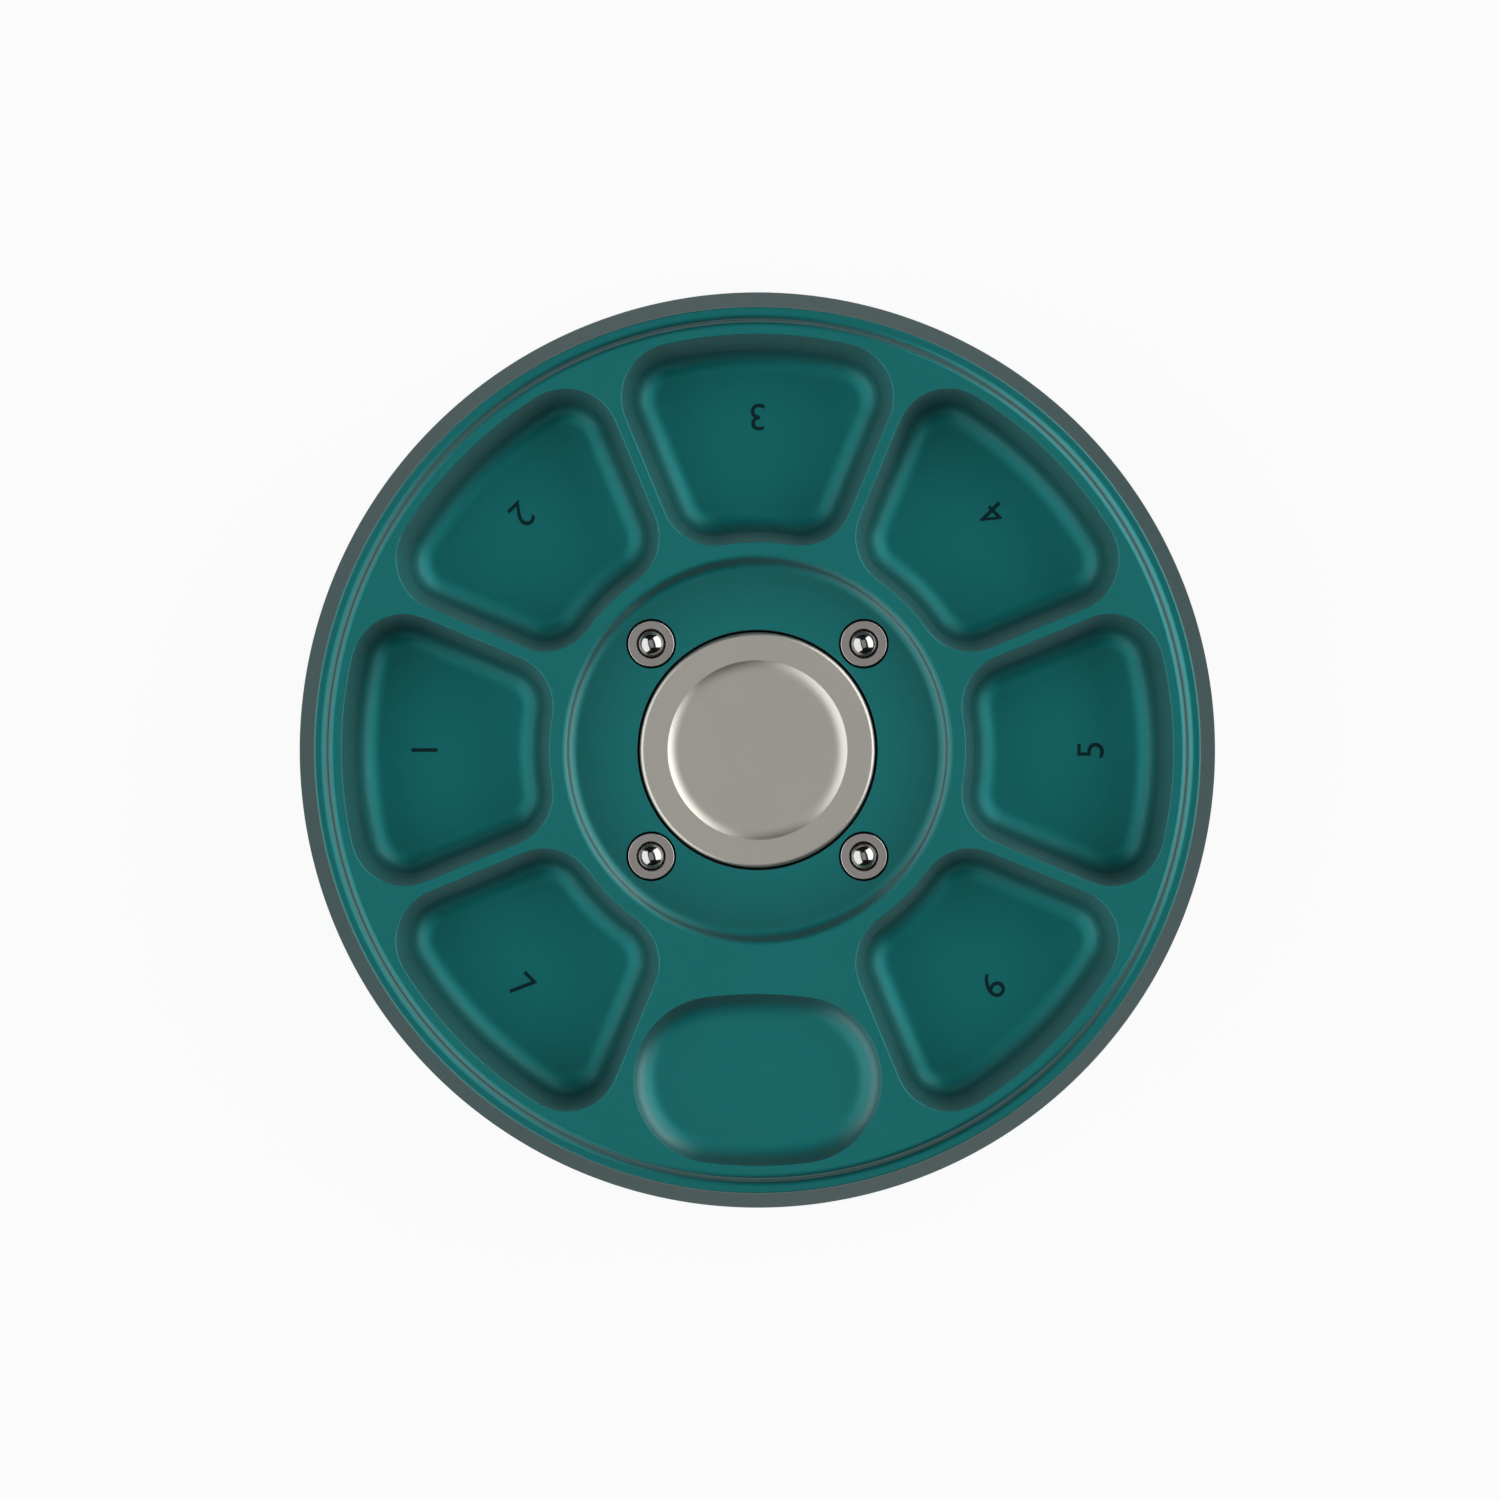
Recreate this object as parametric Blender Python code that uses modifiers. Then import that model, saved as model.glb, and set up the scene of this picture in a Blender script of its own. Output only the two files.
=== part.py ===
"""Round weekly pill organizer, as an assembly.

A machined tray with seven compartments and a thumb dish turns on a ball race
over a low base. A fixed spindle rises through the tray and carries a round hub
cap. Four sprung ball plungers stand in the recess round the cap.

All sizes are in metres. The origin is on the table under the spindle's axis,
+Z is up, and the thumb dish lies towards -Y.
"""

import math

import bmesh
import bpy
from mathutils import Vector

PARTS_NAME = "pill_organizer"
CUTTERS_NAME = "pill_organizer_cutters"

# Clearances and cuts
SEAT_GAP = 0.0003
RUNNING_GAP = 0.0007
CUT_OVERRUN = 0.001
EDGE_BREAK = 0.0003
MERGE_DISTANCE = 0.00001

# Feet
FOOT_COUNT = 4
FOOT_HEIGHT = 0.0012
FOOT_RADIUS = 0.005
FOOT_INSET = 0.010
FOOT_STAND_OUT = 0.001

# Base plate
BASE_THICKNESS = 0.003
BASE_RIM_WIDTH = 0.0015
BASE_RIM_HEIGHT = 0.002
BASE_EDGE_GAP = 0.001
BASE_BOSS_HEIGHT = 0.001

# Ball race
RACE_CIRCLE_RADIUS = 0.020
RACE_WIDTH = 0.006
RACE_THICKNESS = 0.0012
RACE_GROOVE_DEPTH = 0.0005
BEARING_BALL_COUNT = 12
BEARING_BALL_RADIUS = 0.002
CAGE_THICKNESS = 0.0012

# Spindle, its screw and its clip
SPINDLE_FLANGE_RADIUS = 0.010
SPINDLE_FLANGE_THICKNESS = 0.002
SPINDLE_RADIUS = 0.004
SPINDLE_SHOULDER_LENGTH = 0.001
STUD_RADIUS = 0.003
STUD_LENGTH = 0.002
SCREW_RADIUS = 0.0025
SCREW_GRIP = 0.006
SCREW_HEAD_RADIUS = 0.0045
SCREW_HEAD_HEIGHT = 0.0015
SCREW_HEAD_SUNK = 0.0002
SCREW_SOCKET_RADIUS = 0.0017
SCREW_SOCKET_DEPTH = 0.0009
CLIP_THICKNESS = 0.0008
CLIP_GROOVE_DEPTH = 0.0006
CLIP_WIDTH = 0.0025
CLIP_MOUTH_ANGLE = math.radians(80)

# Bush
BUSH_WALL = 0.0017
BUSH_FLANGE_WIDTH = 0.002
BUSH_FLANGE_THICKNESS = 0.001

# Hub cap
CAP_RADIUS = 0.01404
CAP_THICKNESS = 0.003
CAP_RISE = 0.00045
CAP_CHAMFER = 0.00036
CAP_DISH_RADIUS = 0.0108
CAP_DISH_BLEND_RADIUS = 0.00336
CAP_DISH_SLOPE = math.radians(30)
CAP_SIDE_GAP = 0.00046

# Tray, its widths named from the hub outwards
WELL_TO_PLUNGER_WIDTH = 0.00056
PLUNGER_TO_RECESS_EDGE_WIDTH = 0.00258
RECESS_LAND_WIDTH = 0.00136
PLATEAU_RIM_WIDTH = 0.0009
LEDGE_WIDTH = 0.0025
TRAY_WALL_SPREAD = 0.0027
TRAY_EDGE_ROUND = 0.00025
TRAY_SKIRT_WIDTH = 0.005
TRAY_SKIRT_RISE = 0.0005
TRAY_FLOOR_THICKNESS = 0.002
RACE_RECESS_DEPTH = 0.0026
LEDGE_DROP = 0.0012
LEDGE_TOP_ROUND = 0.00085
LEDGE_FOOT_ROUND = 0.0011
RECESS_DROP = 0.00125
RECESS_TOP_ROUND = 0.001
RECESS_FOOT_ROUND = 0.0015

# Compartments: seven of eight equal places, the eighth holds the thumb dish
PLACE_COUNT = 8
DISH_PLACE = 4
COMPARTMENT_LENGTH = 0.0249
COMPARTMENT_RIB_WIDTH = 0.00132
COMPARTMENT_CORNER_RADIUS = 0.0064
COMPARTMENT_DEPTH = 0.012
COMPARTMENT_DRAFT = math.radians(8)
COMPARTMENT_FLOOR_ROUND = 0.003

# Thumb dish
DISH_LENGTH = 0.0298
DISH_WIDTH = 0.0206
DISH_END_ROUND_SHARE = 0.97
DISH_BLEND_RADIUS = 0.0039
DISH_EDGE_SLOPE = math.radians(60)

# Ball plungers, from the ball outwards
PLUNGER_COUNT = 4
PLUNGER_BALL_RADIUS = 0.00175
PLUNGER_BALL_GAP = 0.0001
PLUNGER_MOUTH_CATCH = 0.00015
PLUNGER_BORE_GAP = 0.00025
PLUNGER_WALL = 0.0005
PLUNGER_COLLAR_WIDTH = 0.00027
PLUNGER_COLLAR_HEIGHT = 0.0008
PLUNGER_LENGTH = 0.007
PLUNGER_FLOOR_THICKNESS = 0.0006
PLUNGER_LIP_WIDTH = 0.00025
PLUNGER_LIP_ROUND = 0.0001
PLUNGER_LIP_DEPTH = 0.0009
PLUNGER_HOLE_GAP = 0.00023
SPRING_WIRE_RADIUS = 0.0002
SPRING_SIDE_GAP = 0.00055
SPRING_TURNS = 3.5

# How finely round shapes are cut
TRAY_SEGMENTS = 64
BASE_SEGMENTS = 48
CAP_SEGMENTS = 40
RACE_SEGMENTS = 32
SHAFT_SEGMENTS = 20
PLUNGER_SEGMENTS = 16
ARC_STEPS = 4
SOFT_STEP_STEPS = 3
BEARING_BALL_SEGMENTS = 8
BEARING_BALL_RINGS = 6
PLUNGER_BALL_SEGMENTS = 14
PLUNGER_BALL_RINGS = 8
HEXAGON_SIDES = 6
SPRING_POINTS_PER_TURN = 8
SHARP_ANGLE = math.radians(28)

# Heights, worked out from the table upwards
BASE_BOTTOM = FOOT_STAND_OUT
BASE_TOP = BASE_BOTTOM + BASE_THICKNESS
BASE_BOSS_TOP = BASE_TOP + BASE_BOSS_HEIGHT
SPINDLE_BOTTOM = BASE_BOSS_TOP + SEAT_GAP
SPINDLE_FLANGE_TOP = SPINDLE_BOTTOM + SPINDLE_FLANGE_THICKNESS
LOWER_RACE_BOTTOM = BASE_TOP + SEAT_GAP
LOWER_RACE_TOP = LOWER_RACE_BOTTOM + RACE_THICKNESS
BALL_CENTRE = LOWER_RACE_TOP - RACE_GROOVE_DEPTH + SEAT_GAP + BEARING_BALL_RADIUS
UPPER_RACE_TOP = 2 * BALL_CENTRE - LOWER_RACE_BOTTOM
RACE_SEAT = UPPER_RACE_TOP + SEAT_GAP
TRAY_UNDERSIDE = RACE_SEAT - RACE_RECESS_DEPTH
HUB_UNDERSIDE = SPINDLE_FLANGE_TOP + RUNNING_GAP
SKIRT_BOTTOM = BASE_BOTTOM + TRAY_SKIRT_RISE
COMPARTMENT_FLOOR = TRAY_UNDERSIDE + TRAY_FLOOR_THICKNESS
PLATEAU = COMPARTMENT_FLOOR + COMPARTMENT_DEPTH
LEDGE = PLATEAU - LEDGE_DROP
RECESS_FLOOR = PLATEAU - RECESS_DROP

# Heights of the hub, worked out from the cap's face downwards
CAP_TOP = RECESS_FLOOR + CAP_RISE
CAP_BOTTOM = CAP_TOP - CAP_THICKNESS
SPINDLE_SHOULDER = CAP_BOTTOM - SEAT_GAP
STUD_TOP = SPINDLE_SHOULDER + STUD_LENGTH
CLIP_TOP = SPINDLE_SHOULDER - SPINDLE_SHOULDER_LENGTH - SEAT_GAP
CLIP_BOTTOM = CLIP_TOP - CLIP_THICKNESS
BUSH_TOP = CLIP_BOTTOM - SEAT_GAP
HUB_WELL_FLOOR = BUSH_TOP - BUSH_FLANGE_THICKNESS - SEAT_GAP
PLUNGER_SPRING_FLOOR = -(PLUNGER_LENGTH - PLUNGER_FLOOR_THICKNESS)

# Radii of a plunger, from its ball outwards
PLUNGER_MOUTH_RADIUS = PLUNGER_BALL_RADIUS - PLUNGER_MOUTH_CATCH
PLUNGER_BORE_RADIUS = PLUNGER_BALL_RADIUS + PLUNGER_BORE_GAP
PLUNGER_BODY_RADIUS = PLUNGER_BORE_RADIUS + PLUNGER_WALL
PLUNGER_COLLAR_RADIUS = PLUNGER_BODY_RADIUS + PLUNGER_COLLAR_WIDTH
PLUNGER_HOLE_RADIUS = PLUNGER_COLLAR_RADIUS + PLUNGER_HOLE_GAP
SPRING_COIL_RADIUS = PLUNGER_BORE_RADIUS - SPRING_SIDE_GAP - SPRING_WIRE_RADIUS

# Radii of the tray, from the hub cap outwards
HUB_WELL_RADIUS = CAP_RADIUS + CAP_SIDE_GAP
PLUNGER_CIRCLE_RADIUS = HUB_WELL_RADIUS + WELL_TO_PLUNGER_WIDTH + PLUNGER_HOLE_RADIUS
RECESS_RADIUS = PLUNGER_CIRCLE_RADIUS + PLUNGER_HOLE_RADIUS + PLUNGER_TO_RECESS_EDGE_WIDTH
COMPARTMENT_INNER_RADIUS = RECESS_RADIUS + RECESS_LAND_WIDTH
COMPARTMENT_OUTER_RADIUS = COMPARTMENT_INNER_RADIUS + COMPARTMENT_LENGTH
DISH_CENTRE_RADIUS = COMPARTMENT_OUTER_RADIUS - DISH_WIDTH / 2
PLATEAU_RADIUS = COMPARTMENT_OUTER_RADIUS + PLATEAU_RIM_WIDTH
TRAY_EDGE_RADIUS = PLATEAU_RADIUS + LEDGE_WIDTH
TRAY_BOTTOM_RADIUS = TRAY_EDGE_RADIUS + TRAY_WALL_SPREAD
CAVITY_RADIUS = TRAY_BOTTOM_RADIUS - TRAY_SKIRT_WIDTH

# Radii of the base, the race and the bearings
BASE_RADIUS = CAVITY_RADIUS - BASE_EDGE_GAP
FOOT_CIRCLE_RADIUS = BASE_RADIUS - FOOT_INSET
RACE_INNER_RADIUS = RACE_CIRCLE_RADIUS - RACE_WIDTH / 2
RACE_OUTER_RADIUS = RACE_CIRCLE_RADIUS + RACE_WIDTH / 2
BUSH_BORE_RADIUS = SPINDLE_RADIUS + SEAT_GAP
BUSH_RADIUS = BUSH_BORE_RADIUS + BUSH_WALL
BUSH_FLANGE_RADIUS = BUSH_RADIUS + BUSH_FLANGE_WIDTH
CLIP_GROOVE_RADIUS = SPINDLE_RADIUS - CLIP_GROOVE_DEPTH
CLIP_INNER_RADIUS = CLIP_GROOVE_RADIUS + SEAT_GAP
PLACE_ANGLE = math.tau / PLACE_COUNT


def arc(centre, radius, start, end, steps):
    """Points on an arc, from one angle to the other, ends included."""
    points = []
    for step in range(steps + 1):
        angle = start + (end - start) * step / steps
        points.append((centre[0] + radius * math.cos(angle), centre[1] + radius * math.sin(angle)))
    return points


def step_down(edge_x, top, drop, top_round, foot_round, side):
    """Profile of a soft step: a rounded edge that runs into a rounded foot.

    The step falls by drop towards side, which is 1 for outwards and -1 for inwards.
    """
    turn = math.acos(1 - drop / (top_round + foot_round))
    run = (top_round + foot_round) * math.sin(turn)
    upright = math.pi / 2
    brow = arc((0, top - top_round), top_round, upright, upright - turn, SOFT_STEP_STEPS)
    foot_centre = (run, top - drop + foot_round)
    foot = arc(foot_centre, foot_round, -upright - turn, -upright, SOFT_STEP_STEPS)
    return [(edge_x + side * x, z) for x, z in brow + foot[1:]]


def make_material(name, colour, roughness, metallic):
    material = bpy.data.materials.new(name)
    material.use_nodes = True
    shader = material.node_tree.nodes["Principled BSDF"]
    shader.inputs["Base Color"].default_value = (*colour, 1)
    shader.inputs["Roughness"].default_value = roughness
    shader.inputs["Metallic"].default_value = metallic
    material.diffuse_color = (*colour, 1)
    return material


def add_object(name, data, collection, material=None, parent=None, location=(0, 0, 0)):
    piece = bpy.data.objects.new(name, data)
    piece.location = location
    piece.parent = parent
    collection.objects.link(piece)
    if material is not None and not data.materials:
        data.materials.append(material)
    return piece


def add_turned(name, profile, segments, collection, closed=False, **placing):
    """A turned piece: its profile of (radius, height) points, swept round Z."""
    mesh = bpy.data.meshes.new(name)
    edges = [(index, index + 1) for index in range(len(profile) - 1)]
    if closed:
        edges.append((len(profile) - 1, 0))
    mesh.from_pydata([(radius, 0, height) for radius, height in profile], edges, [])
    piece = add_object(name, mesh, collection, **placing)
    turn = piece.modifiers.new("turn", "SCREW")
    turn.steps = segments
    turn.render_steps = segments
    turn.use_merge_vertices = True
    turn.merge_threshold = MERGE_DISTANCE
    return piece


def add_loft(name, loops, collection):
    """A solid lofted through outlines of (x, y) points, each at its own height."""
    shape = bmesh.new()
    rings = []
    for height, outline in loops:
        rings.append([shape.verts.new((x, y, height)) for x, y in outline])
    for upper, lower in zip(rings[:-1], rings[1:]):
        for index in range(len(upper)):
            shape.faces.new((upper[index - 1], upper[index], lower[index], lower[index - 1]))
    shape.faces.new(rings[0])
    shape.faces.new(rings[-1])
    bmesh.ops.recalc_face_normals(shape, faces=shape.faces)
    mesh = bpy.data.meshes.new(name)
    shape.to_mesh(mesh)
    shape.free()
    return add_object(name, mesh, collection)


def add_flat(name, outlines, thickness, collection, **placing):
    """A flat plate, centred on its height, with its outlines as a filled curve."""
    curve = bpy.data.curves.new(name, "CURVE")
    curve.dimensions = "2D"
    curve.fill_mode = "BOTH"
    curve.extrude = thickness / 2
    for outline in outlines:
        add_spline(curve, [(x, y, 0) for x, y in outline], cyclic=True)
    return add_object(name, curve, collection, **placing)


def add_spline(curve, points, cyclic):
    spline = curve.splines.new("POLY")
    spline.points.add(len(points) - 1)
    for place, point in zip(spline.points, points):
        place.co = (*point, 1)
    spline.use_cyclic_u = cyclic


def circle(centre, radius, segments):
    return arc(centre, radius, 0, math.tau, segments)[:-1]


def places_on_circle(count, radius, first_angle):
    """Evenly spaced places on a circle, as (x, y)."""
    return arc((0, 0), radius, first_angle, first_angle + math.tau, count)[:-1]


def mark_as_cutter(piece):
    piece.hide_render = True
    piece.display_type = "WIRE"


def cut_with(piece, cutters, collection):
    """Cuts a piece with every object of a collection of cutters."""
    for cutter in cutters.objects:
        mark_as_cutter(cutter)
    cut = piece.modifiers.new("cut", "BOOLEAN")
    cut.operation = "DIFFERENCE"
    cut.operand_type = "COLLECTION"
    cut.collection = cutters
    cut.solver = "EXACT"
    collection.children.link(cutters)


def settle(piece):
    """Makes a piece's modifiers final and shades it smooth between sharp edges."""
    graph = bpy.context.evaluated_depsgraph_get()
    unfinished = piece.data
    piece.data = bpy.data.meshes.new_from_object(piece.evaluated_get(graph))
    piece.modifiers.clear()
    bpy.data.meshes.remove(unfinished)
    piece.data.name = piece.name
    piece.data.shade_smooth()
    piece.data.set_sharp_from_angle(angle=SHARP_ANGLE)


def clear_scene():
    for thing in list(bpy.data.objects):
        bpy.data.objects.remove(thing)


def make_collection(name):
    collection = bpy.data.collections.new(name)
    bpy.context.scene.collection.children.link(collection)
    return collection


def build_feet(parts, rubber):
    profile = [
        (0, FOOT_HEIGHT),
        (FOOT_RADIUS, FOOT_HEIGHT),
        (FOOT_RADIUS, EDGE_BREAK),
        (FOOT_RADIUS - EDGE_BREAK, 0),
        (0, 0),
    ]
    places = places_on_circle(FOOT_COUNT, FOOT_CIRCLE_RADIUS, PLACE_ANGLE)
    first = add_turned("foot_1", profile, PLUNGER_SEGMENTS, parts, material=rubber, location=(*places[0], 0))
    settle(first)
    for index, place in enumerate(places[1:], start=2):
        add_object(f"foot_{index}", first.data, parts, location=(*place, 0))
    return places


def build_base_plate(parts, cutters, foot_places, dark_metal):
    """A flat dish with a raised rim, a boss that centres the race, and foot pockets."""
    screw_seat = BASE_BOTTOM + SCREW_HEAD_SUNK + SCREW_HEAD_HEIGHT + SEAT_GAP
    head_room = SCREW_HEAD_RADIUS + SEAT_GAP
    screw_room = SCREW_RADIUS + SEAT_GAP
    boss = RACE_INNER_RADIUS - SEAT_GAP
    rim_top = BASE_TOP + BASE_RIM_HEIGHT
    rim_inside = BASE_RADIUS - BASE_RIM_WIDTH
    profile = [
        (BASE_RADIUS, rim_top),
        (BASE_RADIUS, BASE_BOTTOM + EDGE_BREAK),
        (BASE_RADIUS - EDGE_BREAK, BASE_BOTTOM),
        (head_room, BASE_BOTTOM),
        (head_room, screw_seat),
        (screw_room, screw_seat),
        (screw_room, BASE_BOSS_TOP),
        (boss - EDGE_BREAK, BASE_BOSS_TOP),
        (boss, BASE_BOSS_TOP - EDGE_BREAK),
        (boss, BASE_TOP),
        (rim_inside, BASE_TOP),
        (rim_inside, rim_top),
    ]
    base = add_turned("base_plate", profile, BASE_SEGMENTS, parts, closed=True, material=dark_metal)
    pockets = bpy.data.collections.new("foot_pockets")
    pocket_top = FOOT_HEIGHT + SEAT_GAP
    pocket_bottom = BASE_BOTTOM - CUT_OVERRUN
    pocket_radius = FOOT_RADIUS + SEAT_GAP
    pocket_profile = [
        (0, pocket_top),
        (pocket_radius, pocket_top),
        (pocket_radius, pocket_bottom),
        (0, pocket_bottom),
    ]
    for index, place in enumerate(foot_places, start=1):
        name = f"foot_pocket_{index}"
        add_turned(name, pocket_profile, PLUNGER_SEGMENTS, pockets, location=(*place, 0))
    cut_with(base, pockets, cutters)
    settle(base)


def build_spindle(parts, steel):
    """The fixed shaft: a bolted flange, the journal, the clip's groove and the cap's stud."""
    groove_top = CLIP_TOP + SEAT_GAP
    groove_bottom = CLIP_BOTTOM - SEAT_GAP
    hole_radius = SCREW_RADIUS + SEAT_GAP
    hole_top = SPINDLE_BOTTOM + SCREW_GRIP + SEAT_GAP
    profile = [
        (0, STUD_TOP),
        (STUD_RADIUS - EDGE_BREAK, STUD_TOP),
        (STUD_RADIUS, STUD_TOP - EDGE_BREAK),
        (STUD_RADIUS, SPINDLE_SHOULDER),
        (SPINDLE_RADIUS, SPINDLE_SHOULDER),
        (SPINDLE_RADIUS, groove_top),
        (CLIP_GROOVE_RADIUS, groove_top),
        (CLIP_GROOVE_RADIUS, groove_bottom),
        (SPINDLE_RADIUS, groove_bottom),
        (SPINDLE_RADIUS, SPINDLE_FLANGE_TOP),
        (SPINDLE_FLANGE_RADIUS - EDGE_BREAK, SPINDLE_FLANGE_TOP),
        (SPINDLE_FLANGE_RADIUS, SPINDLE_FLANGE_TOP - EDGE_BREAK),
        (SPINDLE_FLANGE_RADIUS, SPINDLE_BOTTOM),
        (hole_radius, SPINDLE_BOTTOM),
        (hole_radius, hole_top),
        (0, hole_top),
    ]
    settle(add_turned("spindle", profile, SHAFT_SEGMENTS, parts, material=steel))


def build_spindle_screw(parts, cutters, steel):
    """The screw that holds the spindle from below, with a hexagon socket in its head."""
    head_bottom = BASE_BOTTOM + SCREW_HEAD_SUNK
    head_top = head_bottom + SCREW_HEAD_HEIGHT
    tip = SPINDLE_BOTTOM + SCREW_GRIP
    profile = [
        (0, tip),
        (SCREW_RADIUS - EDGE_BREAK, tip),
        (SCREW_RADIUS, tip - EDGE_BREAK),
        (SCREW_RADIUS, head_top),
        (SCREW_HEAD_RADIUS, head_top),
        (SCREW_HEAD_RADIUS, head_bottom + EDGE_BREAK),
        (SCREW_HEAD_RADIUS - EDGE_BREAK, head_bottom),
        (0, head_bottom),
    ]
    screw = add_turned("spindle_screw", profile, PLUNGER_SEGMENTS, parts, material=steel)
    socket = bpy.data.collections.new("screw_socket")
    hexagon = circle((0, 0), SCREW_SOCKET_RADIUS, HEXAGON_SIDES)
    loops = [(head_bottom + SCREW_SOCKET_DEPTH, hexagon), (head_bottom - CUT_OVERRUN, hexagon)]
    add_loft("screw_socket_cutter", loops, socket)
    cut_with(screw, socket, cutters)
    settle(screw)


def build_clip(parts, spring_steel):
    """The open ring that snaps into the spindle's groove and keeps the tray down."""
    outer_radius = CLIP_INNER_RADIUS + CLIP_WIDTH
    start = CLIP_MOUTH_ANGLE / 2
    end = math.tau - CLIP_MOUTH_ANGLE / 2
    outline = arc((0, 0), outer_radius, start, end, PLUNGER_SEGMENTS)
    outline += arc((0, 0), CLIP_INNER_RADIUS, end, start, PLUNGER_SEGMENTS)
    middle = (0, 0, (CLIP_BOTTOM + CLIP_TOP) / 2)
    add_flat("retaining_clip", [outline], CLIP_THICKNESS, parts, material=spring_steel, location=middle)


def build_bush(parts, turntable, bronze):
    """The flanged bush that the tray turns on."""
    profile = [
        (BUSH_FLANGE_RADIUS - EDGE_BREAK, BUSH_TOP),
        (BUSH_FLANGE_RADIUS, BUSH_TOP - EDGE_BREAK),
        (BUSH_FLANGE_RADIUS, BUSH_TOP - BUSH_FLANGE_THICKNESS),
        (BUSH_RADIUS, BUSH_TOP - BUSH_FLANGE_THICKNESS),
        (BUSH_RADIUS, HUB_UNDERSIDE + EDGE_BREAK),
        (BUSH_RADIUS - EDGE_BREAK, HUB_UNDERSIDE),
        (BUSH_BORE_RADIUS, HUB_UNDERSIDE),
        (BUSH_BORE_RADIUS, BUSH_TOP),
    ]
    settle(add_turned("bush", profile, SHAFT_SEGMENTS, parts, closed=True, material=bronze, parent=turntable))


def build_hub_cap(parts, satin_metal):
    """The round cap on the spindle, with a shallow dish in its face."""
    blend_run = CAP_DISH_BLEND_RADIUS * math.sin(CAP_DISH_SLOPE)
    dish_floor = CAP_TOP - CAP_DISH_BLEND_RADIUS * (1 - math.cos(CAP_DISH_SLOPE))
    blend_centre = (CAP_DISH_RADIUS - blend_run, dish_floor + CAP_DISH_BLEND_RADIUS)
    floor_angle = -math.pi / 2
    blend = arc(blend_centre, CAP_DISH_BLEND_RADIUS, floor_angle, floor_angle + CAP_DISH_SLOPE, ARC_STEPS)
    socket_radius = STUD_RADIUS + SEAT_GAP
    socket_top = STUD_TOP + SEAT_GAP
    profile = [(0, dish_floor)]
    profile += blend
    profile += [
        (CAP_RADIUS - CAP_CHAMFER, CAP_TOP),
        (CAP_RADIUS, CAP_TOP - CAP_CHAMFER),
        (CAP_RADIUS, CAP_BOTTOM + EDGE_BREAK),
        (CAP_RADIUS - EDGE_BREAK, CAP_BOTTOM),
        (socket_radius, CAP_BOTTOM),
        (socket_radius, socket_top),
        (0, socket_top),
    ]
    settle(add_turned("hub_cap", profile, CAP_SEGMENTS, parts, material=satin_metal))


def race_profile():
    """The lower race, down its outer side, under it and back along its ball groove."""
    groove_radius = BEARING_BALL_RADIUS + SEAT_GAP
    rise = LOWER_RACE_TOP - BALL_CENTRE
    half_width = math.sqrt(groove_radius**2 - rise**2)
    start = math.atan2(rise, -half_width)
    end = math.atan2(rise, half_width)
    groove = arc((RACE_CIRCLE_RADIUS, BALL_CENTRE), groove_radius, start, end, ARC_STEPS)
    return [
        (RACE_OUTER_RADIUS, LOWER_RACE_TOP),
        (RACE_OUTER_RADIUS, LOWER_RACE_BOTTOM),
        (RACE_INNER_RADIUS, LOWER_RACE_BOTTOM),
        (RACE_INNER_RADIUS, LOWER_RACE_TOP),
    ] + groove


def build_races(parts, turntable, steel):
    lower = race_profile()
    upper = [(radius, 2 * BALL_CENTRE - height) for radius, height in reversed(lower)]
    settle(add_turned("lower_race", lower, RACE_SEGMENTS, parts, closed=True, material=steel))
    placing = {"material": steel, "parent": turntable}
    settle(add_turned("upper_race", upper, RACE_SEGMENTS, parts, closed=True, **placing))


def build_ball_cage(parts, bearing_axis, bronze, steel):
    """The flat cage with one hole for each ball, and the balls in it."""
    places = places_on_circle(BEARING_BALL_COUNT, RACE_CIRCLE_RADIUS, 0)
    outlines = [
        circle((0, 0), RACE_OUTER_RADIUS, RACE_SEGMENTS),
        circle((0, 0), RACE_INNER_RADIUS, RACE_SEGMENTS),
    ]
    for place in places:
        outlines.append(circle(place, BEARING_BALL_RADIUS + SEAT_GAP, SHAFT_SEGMENTS // 2))
    placing = {"material": bronze, "parent": bearing_axis, "location": (0, 0, BALL_CENTRE)}
    add_flat("ball_cage", outlines, CAGE_THICKNESS, parts, **placing)
    size = (BEARING_BALL_RADIUS, BEARING_BALL_SEGMENTS, BEARING_BALL_RINGS)
    ball = make_ball("bearing_ball", *size, steel)
    for index, place in enumerate(places, start=1):
        name = f"bearing_ball_{index}"
        add_object(name, ball, parts, parent=bearing_axis, location=(*place, BALL_CENTRE))


def make_ball(name, radius, segments, rings, material):
    shape = bmesh.new()
    bmesh.ops.create_uvsphere(shape, u_segments=segments, v_segments=rings, radius=radius)
    mesh = bpy.data.meshes.new(name)
    shape.to_mesh(mesh)
    shape.free()
    mesh.shade_smooth()
    mesh.materials.append(material)
    return mesh


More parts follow.
